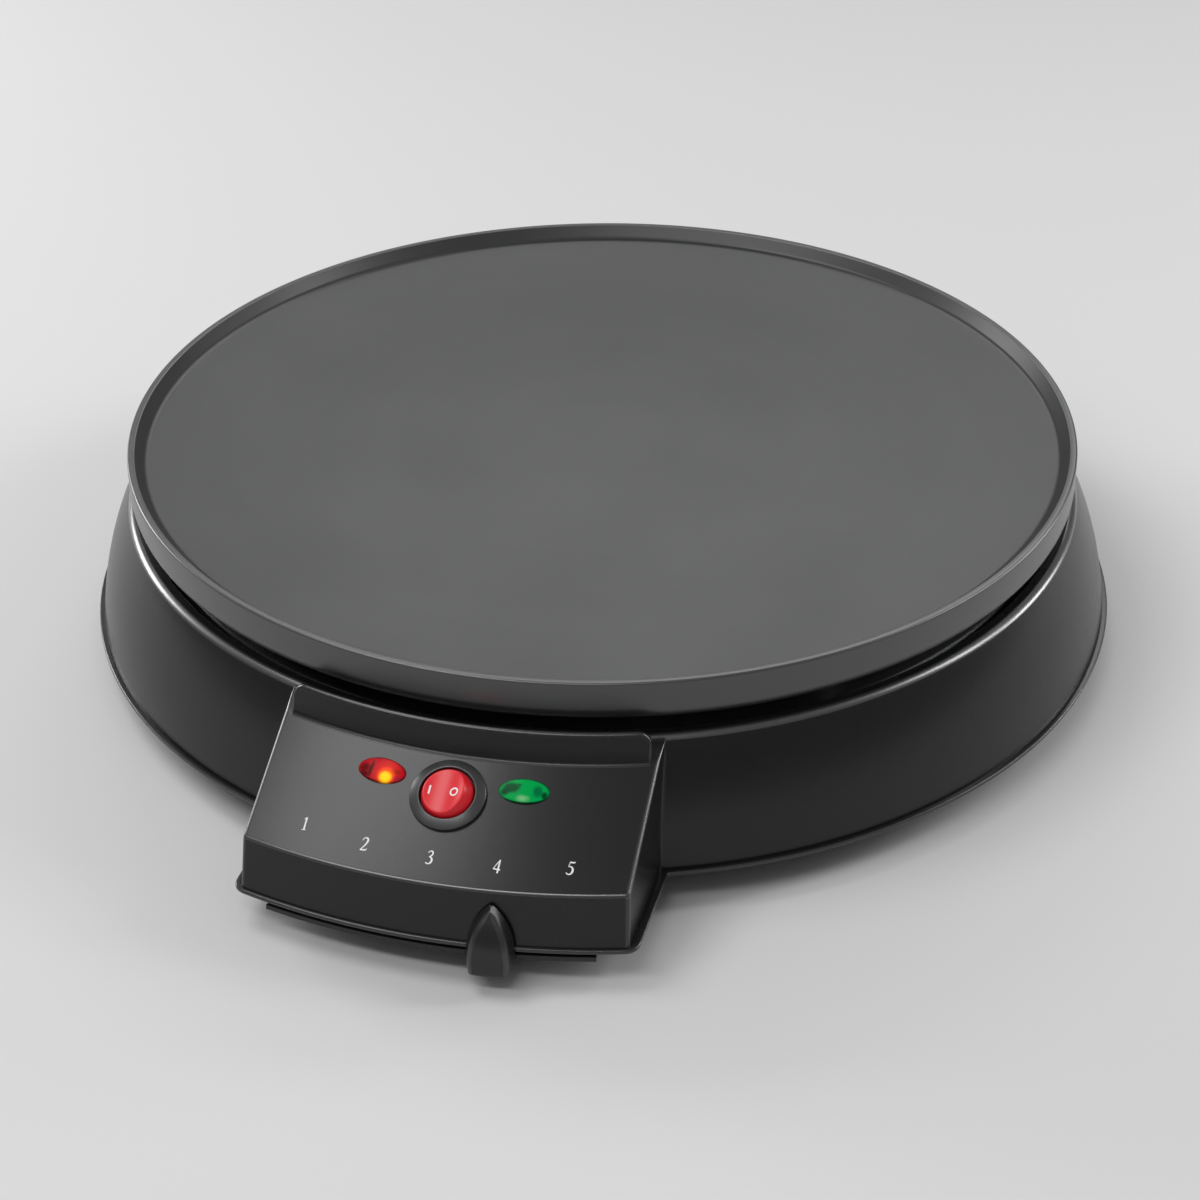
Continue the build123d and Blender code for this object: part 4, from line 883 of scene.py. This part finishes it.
knob = {
    "angle": 5.6, "bottom": 6.7, "top": 25.95, "back": 204.6, "backTurn": 14.4, "lean": 0.279,
    "front": (209.2, 4.04, -10.39), "rise": 19.7,  # the front's radius and its change over the rise
    "waist": 11.23, "upper": (-9.88, 18.1), "lower": (-34.5, 42.74),  # (centre, radius) of arcs
    "reference": 201.25, "draft": 0.3057, "round": 1.3, "crown": 0.3, "crownWidth": 4.0,
    "crowding": 1.5,
    "steps": {"levels": 44, "side": 5, "round": 6, "half": 6},
}


def knobHalf(z, radius):
    centre, reach = knob["upper"] if z > knob["waist"] else knob["lower"]
    reach -= knob["draft"] * (radius - knob["reference"])
    inside = reach ** 2 - (z - knob["waist"]) ** 2
    return max(0.02, centre + math.sqrt(max(inside, 0.0)))


def knobRing(z):
    # (across, radius) round the knob at one height, from its back over its front
    steps = knob["steps"]
    back = knob["back"] - knob["lean"] * max(0.0, z - knob["backTurn"])
    rise = (z - knob["bottom"]) / knob["rise"]
    start, slope, fall = knob["front"]
    front = start + slope * rise + fall * rise * rise
    if z > knob["waist"]:
        centre, reach = knob["upper"]
        room = reach - math.hypot(centre, z - knob["waist"])
        front = min(front, knob["reference"] + room / knob["draft"])
    front = max(front, back + 0.05)
    half = knobHalf(z, front)
    soft = min(knob["round"], 0.8 * half + 0.01, 0.6 * (front - back))
    radii = [back + (front - soft - back) * t for t in shares(steps["side"], closed=True)]
    side = [Vector((knobHalf(z, r), r)) for r in radii]
    outer, corner, inner = side[-1], Vector((half, front)), Vector((half - soft, front))
    side += [bend(outer, corner, inner, t) for t in shares(steps["round"], closed=True, first=1)]
    crown = knob["crown"] * min(1.0, inner.x / knob["crownWidth"])
    across = [inner.x * (1 - i / steps["half"]) for i in range(1, 2 * steps["half"])]
    ring = [tuple(p) for p in side]
    ring += [(x, front + crown * (1 - (x / max(inner.x, 0.01)) ** 2)) for x in across]
    return ring + [(-x, r) for x, r in reversed(side)]


def makeKnob():
    turn, levels, points = math.radians(knob["angle"]), knob["steps"]["levels"], []
    for share in shares(levels, closed=True):  # levels lie closer together towards the tip
        z = knob["bottom"] + (knob["top"] - knob["bottom"]) * (1 - (1 - share) ** knob["crowding"])
        ring = knobRing(z)
        for x, r in ring:
            across = x * math.cos(turn) + r * math.sin(turn)
            points.append(at(across, x * math.sin(turn) - r * math.cos(turn), z))
    count = len(ring)
    faces = loftFaces(levels + 1, count)
    faces += [tuple(range(count)), tuple(levels * count + i for i in range(count))]
    piece = meshPiece("leverKnob", points, faces)
    return finishPiece(piece, "lever", "knob_plastic", ["lever_knob"], sharp=50, polish=0.4)


makeKnob()
print("knob made")

switch = {
    "drop": 13.35, "bezelRadius": 11.2, "bezelEdge": 1.0, "bezelHeight": 2.4, "mouthRadius": 8.0,
    "bezelRounds": (0.45, 0.35), "barrelMouth": 8.3, "barrelRadius": 10.0, "barrelDepth": 14.0,
    "barrelRound": 0.8, "floor": 2.0, "seat": -0.5, "steps": 128,
}
rocker = {
    "pivotDepth": 0.6, "radius": 7.9, "rimHeight": 4.4, "dish": 15.5, "tilt": 9.0, "edgeRound": 0.4,
    "steps": {"round": 120, "side": 14, "edge": 5, "top": 14},
}


def makeBezel():
    seat = panelFrame(0, switch["drop"])
    tilt = tuple(seat.to_3x3().normalized().to_euler())
    barrel, bezel, mouth = switch["barrelRadius"], switch["bezelRadius"], switch["barrelMouth"]
    bottom, rim = -switch["barrelDepth"], switch["seat"]
    floor = bottom + switch["floor"]
    outerRound, innerRound = switch["bezelRounds"]
    profile = roundedPath([
        (0, bottom, 0), (barrel, bottom, switch["barrelRound"]), (barrel, rim, 0), (bezel, rim, 0),
        (bezel, switch["bezelEdge"], outerRound),
        (switch["mouthRadius"], switch["bezelHeight"], innerRound),
        (mouth, 0, 0), (mouth, floor, 0), (0, floor, 0),
    ])
    place = tuple(seat.translation)
    piece = turnedPiece("switchBezel", profile, switch["steps"], "switch_black", place, tilt)
    return finishPiece(piece, "base", "switch_black", ["switch_body"])


def rockerTop(x):
    # height of the dished top over the pivot, at a distance from its middle line
    rim, dish = rocker["rimHeight"] + rocker["pivotDepth"], rocker["dish"]
    edge = math.sqrt(rocker["radius"] ** 2 - rim ** 2)
    return rim + math.sqrt(dish ** 2 - edge ** 2) - math.sqrt(dish ** 2 - x * x)


def rockerEdge(turn):
    # where the ball's side meets the dish, by halving
    low, high = 0.0, rocker["radius"]
    for _ in range(40):
        middle = (low + high) / 2
        inside = math.hypot(middle, rockerTop(middle * math.cos(turn))) < rocker["radius"]
        low, high = (middle, high) if inside else (low, middle)
    return low


def rockerColumn(turn):
    # (radius, height) up the ball's side, over its edge and in to the middle
    ball, soft, steps = rocker["radius"], rocker["edgeRound"], rocker["steps"]
    edge = rockerEdge(turn)
    inner = edge - soft
    corner, inside = (Vector((r, rockerTop(r * math.cos(turn)))) for r in (edge, inner))
    low = -math.pi / 6  # the foot lies half a radius below the pivot
    high = math.atan2(corner.y, corner.x) - soft / ball
    lifts = [low + (high - low) * t for t in shares(steps["side"], closed=True)]
    column = [ball * Vector((math.cos(lift), math.sin(lift))) for lift in lifts]
    outside, edges = column[-1], shares(steps["edge"], closed=True, first=1)
    column += [bend(outside, corner, inside, t) for t in edges]
    aways = [inner * (1 - t) for t in shares(steps["top"], first=1)]
    return column + [Vector((away, rockerTop(away * math.cos(turn)))) for away in aways]


def makeRocker():
    count, seat = rocker["steps"]["round"], panelFrame(0, switch["drop"], -rocker["pivotDepth"])
    seat = seat @ Matrix.Rotation(math.radians(-rocker["tilt"]), 4, "Y")
    turns = [2 * math.pi * t for t in shares(count)]
    columns = [rockerColumn(turn) for turn in turns]
    points = []
    for level in zip(*columns):
        for turn, (away, height) in zip(turns, level):
            points.append((away * math.cos(turn), away * math.sin(turn), height))
    rows = len(columns[0])
    faces = loftFaces(rows, count) + capFaces((rows - 1) * count, count, rows * count)
    points += [(0, 0, rockerTop(0)), (0, 0, -rocker["radius"] / 2)]
    piece = meshPiece("rockerCap", [seat @ Vector(p) for p in points], faces)
    finishPiece(piece, "rocker", "rocker_red", ["switch_rocker"], sharp=60)
    return seat


def thinStroke(points, faces, outline, place, lift, sink):
    # a closed thin solid from (x, y, half width) samples along a line
    start, count = len(points), len(outline)
    for i, (x, y, half) in enumerate(outline):
        ahead = Vector(outline[min(i + 1, count - 1)][:2]) - Vector(outline[max(i - 1, 0)][:2])
        side = Vector((-ahead.y, ahead.x)).normalized() * half
        for sign, level in ((1, sink), (-1, sink), (-1, lift), (1, lift)):
            points.append(place(x + sign * side.x, y + sign * side.y, level))
    last = start + (count - 1) * 4
    faces += loftFaces(count, 4, start)
    faces += [(start + 3, start + 2, start + 1, start), (last, last + 1, last + 2, last + 3)]


def smoothLine(knots, steps=6):
    # a curve through (x, y, half width) knots
    line, last = [], len(knots) - 1
    for i in range(last):
        p0, p1, p2, p3 = (Vector(knots[max(0, min(last, i + k))]) for k in (-1, 0, 1, 2))
        for t in shares(steps):
            bent = (2 * p0 - 5 * p1 + 4 * p2 - p3) * t * t + (3 * p1 - p0 - 3 * p2 + p3) * t ** 3
            line.append(tuple(0.5 * (2 * p1 + (p2 - p0) * t + bent)))
    return line + [tuple(knots[-1])]


rockerMarks = {
    "lift": 0.04, "sink": -0.1, "down": -0.2, "barPlace": -4.35, "barHalf": 1.35, "barWidth": 0.25,
    "ringPlace": 3.1, "ringRadius": 1.1, "ringWidth": 0.24, "barSteps": 8, "ringSteps": 48,
}


def makeRockerMarks(seat):
    marks, points, faces = rockerMarks, [], []
    lift, sink, down = marks["lift"], marks["sink"], marks["down"]

    def onDish(x, y, level):
        return seat @ Vector((x, y, rockerTop(x) + level))

    spots = [down + marks["barHalf"] * (2 * t - 1) for t in shares(marks["barSteps"], closed=True)]
    bar = [(marks["barPlace"], y, marks["barWidth"]) for y in spots]
    thinStroke(points, faces, bar, onDish, lift, sink)
    start = len(points)
    for t in shares(marks["ringSteps"], closed=True):
        turn = 2 * math.pi * t
        for away, level in ((1, sink), (-1, sink), (-1, lift), (1, lift)):
            reach = marks["ringRadius"] + away * marks["ringWidth"]
            x, y = marks["ringPlace"] + reach * math.cos(turn), down + reach * math.sin(turn)
            points.append(onDish(x, y, level))
    faces += loftFaces(marks["ringSteps"] + 1, 4, start)
    piece = meshPiece("rockerMarks", points, faces)
    return finishPiece(piece, "rocker", "rocker_red", material=finishes["printWhite"])


makeBezel()
makeRockerMarks(makeRocker())
print("switch made")

lens = {
    "half": 7.5, "rise": 3.85, "dome": 0.9, "flatter": 4.0, "seat": -2.0, "skirt": -0.4,
    "angle": 7.1, "drop": 9.4, "rings": 14, "steps": 96,
    "edge": [(1.0, 0.3), (0.99, 0.1), (0.965, 0.0)],  # (share of the outline, depth below the dome)
}


def makeLens(name, side, slotName, node):
    place = panelFrame(side * lens["angle"], lens["drop"])
    turns = [2 * math.pi * t for t in shares(lens["steps"])]
    outline = [(lens["half"] * math.cos(turn), lens["rise"] * math.sin(turn)) for turn in turns]
    ball = (lens["half"] ** 2 + lens["dome"] ** 2) / (2 * lens["dome"]) + lens["flatter"]

    def dome(x, y):
        return lens["dome"] - ball + math.sqrt(ball * ball - x * x - y * y)

    flat = [(x, y, level) for level in (lens["seat"], lens["skirt"]) for x, y in outline]
    inmost = lens["edge"][-1][0]
    rows = lens["edge"] + [(inmost * (1 - t), 0.0) for t in shares(lens["rings"], first=1)]
    for share, down in rows:
        flat += [(x * share, y * share, dome(x * share, y * share) - down) for x, y in outline]
    count, last = len(outline), len(flat) - len(outline)
    faces = loftFaces(len(flat) // count, count) + capFaces(last, count, len(flat))
    flat += [(0, 0, dome(0, 0)), (0, 0, lens["seat"])]
    piece = meshPiece(name, [place @ Vector(p) for p in flat], faces)
    layer = piece.data.uv_layers.new(name="lensFace")  # mm across and up the lens
    for loop in piece.data.loops:
        layer.data[loop.index].uv = flat[loop.vertex_index][:2]
    return finishPiece(piece, "base", slotName, [node], sharp=50)


makeLens("redLensCap", -1, "red_lens", "red_lamp_lens")
makeLens("greenLensCap", 1, "green_lens", "green_lamp_lens")
print("lenses made")

numbers = {
    "height": 3.65, "lift": 0.05, "stackLift": 0.006, "sink": -0.06, "weight": 0.86,
    "places": {  # (angle, way down the panel)
        "1": (-11.9, 31.3), "2": (-6.03, 32.7), "3": (-0.13, 33.0), "4": (5.72, 33.2),
        "5": (11.87, 32.5),
    },
}
numberStrokes = {  # (x, y, half width) in shares of the number's height
    "1": [
        [(0.0, 0.0, 0.075), (0.0, 0.5, 0.07), (0.0, 0.98, 0.075)],
        [(0.0, 0.95, 0.055), (-0.1, 0.88, 0.035), (-0.19, 0.84, 0.015)],
        [(-0.2, 0.02, 0.02), (0.0, 0.025, 0.03), (0.17, 0.02, 0.02)],
    ],
    "2": [
        [(-0.23, 0.76, 0.03), (-0.16, 0.91, 0.035), (0.0, 0.985, 0.045), (0.17, 0.91, 0.07),
         (0.2, 0.72, 0.085), (0.06, 0.42, 0.055), (-0.14, 0.18, 0.035), (-0.24, 0.06, 0.03)],
        [(-0.26, 0.055, 0.05), (0.0, 0.05, 0.06), (0.22, 0.05, 0.055)],
        [(0.2, 0.06, 0.04), (0.25, 0.12, 0.03), (0.28, 0.2, 0.012)],
    ],
    "3": [
        [(-0.2, 0.82, 0.03), (-0.12, 0.93, 0.035), (0.02, 0.985, 0.045), (0.16, 0.9, 0.065),
         (0.15, 0.72, 0.07), (0.04, 0.6, 0.045), (-0.08, 0.55, 0.02)],
        [(-0.06, 0.54, 0.02), (0.1, 0.5, 0.055), (0.2, 0.36, 0.085), (0.17, 0.14, 0.08),
         (0.0, 0.02, 0.045), (-0.16, 0.04, 0.05), (-0.24, 0.1, 0.045)],
    ],
    "4": [
        [(0.1, 0.99, 0.035), (-0.1, 0.64, 0.035), (-0.28, 0.29, 0.03)],
        [(-0.3, 0.275, 0.05), (0.0, 0.275, 0.052), (0.27, 0.275, 0.05)],
        [(0.1, 1.0, 0.06), (0.1, 0.5, 0.075), (0.1, 0.0, 0.075)],
    ],
    "5": [
        [(-0.14, 0.93, 0.05), (0.04, 0.93, 0.06), (0.18, 0.96, 0.055), (0.25, 1.02, 0.025)],
        [(-0.13, 0.94, 0.035), (-0.16, 0.75, 0.03), (-0.2, 0.57, 0.025)],
        [(-0.2, 0.57, 0.02), (-0.04, 0.6, 0.05), (0.13, 0.52, 0.075), (0.19, 0.33, 0.09),
         (0.12, 0.12, 0.07), (-0.04, 0.01, 0.045), (-0.2, 0.03, 0.045), (-0.27, 0.1, 0.04)],
    ],
}


def onPanel(x, y, level):
    # a plan position and a level over the panel, as the ink is printed straight from above
    fall = (math.hypot(x, y) - panel["topRadius"]) * math.tan(panelSlope)
    return at(x, y, panel["topHeight"] - fall + level / math.cos(panelSlope))


def makeNumbers():
    points, faces, size = [], [], numbers["height"]
    for label, (angle, drop) in numbers["places"].items():
        middle = heading(math.radians(angle)) * (panel["topRadius"] + drop * math.cos(panelSlope))

        def put(x, y, level, middle=middle):
            return onPanel(middle.x + x * size, -middle.y + (y - 0.5) * size, level)

        for index, stroke in enumerate(numberStrokes[label]):
            stroke = [(x, y, half * numbers["weight"]) for x, y, half in stroke]
            lift = numbers["lift"] + numbers["stackLift"] * index
            thinStroke(points, faces, smoothLine(stroke), put, lift, numbers["sink"])
    piece = meshPiece("dialNumbers", points, faces)
    return finishPiece(piece, "base", "housing_plastic", material=finishes["printWhite"])


makeNumbers()
print("dial numbers made")

studio = {
    "floor": (0.6, 0.6, 0.6), "world": 0.38,
    "cove": {"flat": 2.4, "round": 0.9, "top": 1.6, "bends": 8, "steps": 96, "sink": 0.00005},
    "camera": {  # place and axes, measured from the plate's axis
        "place": (0.21566891, -0.818457789, 0.534054387),
        "right": (0.9677393, 0.2518565, -0.0069966), "up": (-0.1284031, 0.5168914, 0.8463663),
        "back": (0.2167793, -0.8181636, 0.5325552), "lens": 87.80912,
    },
    "lamps": {  # width and height, power, place, aim
        "leftBox": ((0.5, 0.5), 4.4, (-0.5, -0.1, 1.2), (0, 0, 0.03)),
        "leftLow": ((0.4, 0.4), 5.5, (-1.1, 0.4, 0.45), (0, 0, 0.03)),
        "frontStrip": ((1.3, 0.2), 7.5, (-0.35, -0.9, 1.25), (-0.35, -0.1, 0.03)),
        "rightStrip": ((0.2, 0.5), 3.4, (0.95, 0.3, 0.75), (0, 0, 0.03)),
        "rightLow": ((0.4, 0.3), 4.5, (1.15, 0.75, 0.4), (0.1, 0, 0.03)),
        "backPanel": ((1.4, 0.4), 7.0, (-0.3, 1.75, 1.35), (0, 0, 0.03)),
    },
}


def makeFloor():
    # a cove all round, so that every view has the same pale ground
    cove = studio["cove"]
    soft, count = cove["round"], cove["steps"]
    turns = quarter(cove["bends"])
    profile = [(cove["flat"] + soft * math.sin(a), soft - soft * math.cos(a)) for a in turns]
    profile.append((cove["flat"] + soft, cove["top"]))
    points = []
    for radius, z in profile:
        spots = [radius * heading(2 * math.pi * t) for t in shares(count)]
        points += [(p.y, p.x, z - cove["sink"]) for p in spots]
    floor = meshPiece("studioFloor", points, [tuple(range(count))] + loftFaces(len(profile), count))
    markSharp(floor.data, 60)
    material, tree, bsdf = newMaterial("studioPaper")
    feed(tree, studio["floor"], bsdf["Base Color"])
    bsdf["Roughness"].default_value = 0.9
    bsdf["Specular IOR Level"].default_value = 0.1
    floor.data.materials.append(material)


def makeLight():
    world = bpy.data.worlds.new("studioWorld")
    bpy.context.scene.world = world
    world.use_nodes = True
    sky = world.node_tree.nodes["Background"].inputs
    feed(world.node_tree, (1, 1, 1), sky["Color"])
    sky["Strength"].default_value = studio["world"]
    for name, (size, power, place, aim) in studio["lamps"].items():
        data = bpy.data.lights.new(name, "AREA")
        data.shape = "RECTANGLE"
        data.size, data.size_y = size
        data.energy = power
        lamp = bpy.data.objects.new(name, data)
        lamp.location = place
        lamp.rotation_euler = (Vector(place) - Vector(aim)).to_track_quat("Z", "Y").to_euler()
        lamp.visible_camera = False
        bpy.context.scene.collection.objects.link(lamp)


def makeCamera():
    view = studio["camera"]
    axes = Matrix([view[key] for key in ("right", "up", "back")]).transposed().to_4x4()
    data = bpy.data.cameras.new("studioCamera")
    data.sensor_width = 36.0
    data.lens = view["lens"]
    data.clip_start, data.clip_end = 0.05, 20.0
    camera = bpy.data.objects.new("studioCamera", data)
    camera.matrix_world = Matrix.Translation(Vector(view["place"]) + Vector((0, axisY, 0))) @ axes
    bpy.context.scene.collection.objects.link(camera)
    bpy.context.scene.camera = camera


makeFloor()
makeLight()
makeCamera()
bpy.context.scene.view_settings.view_transform = "Standard"
print("studio ready")
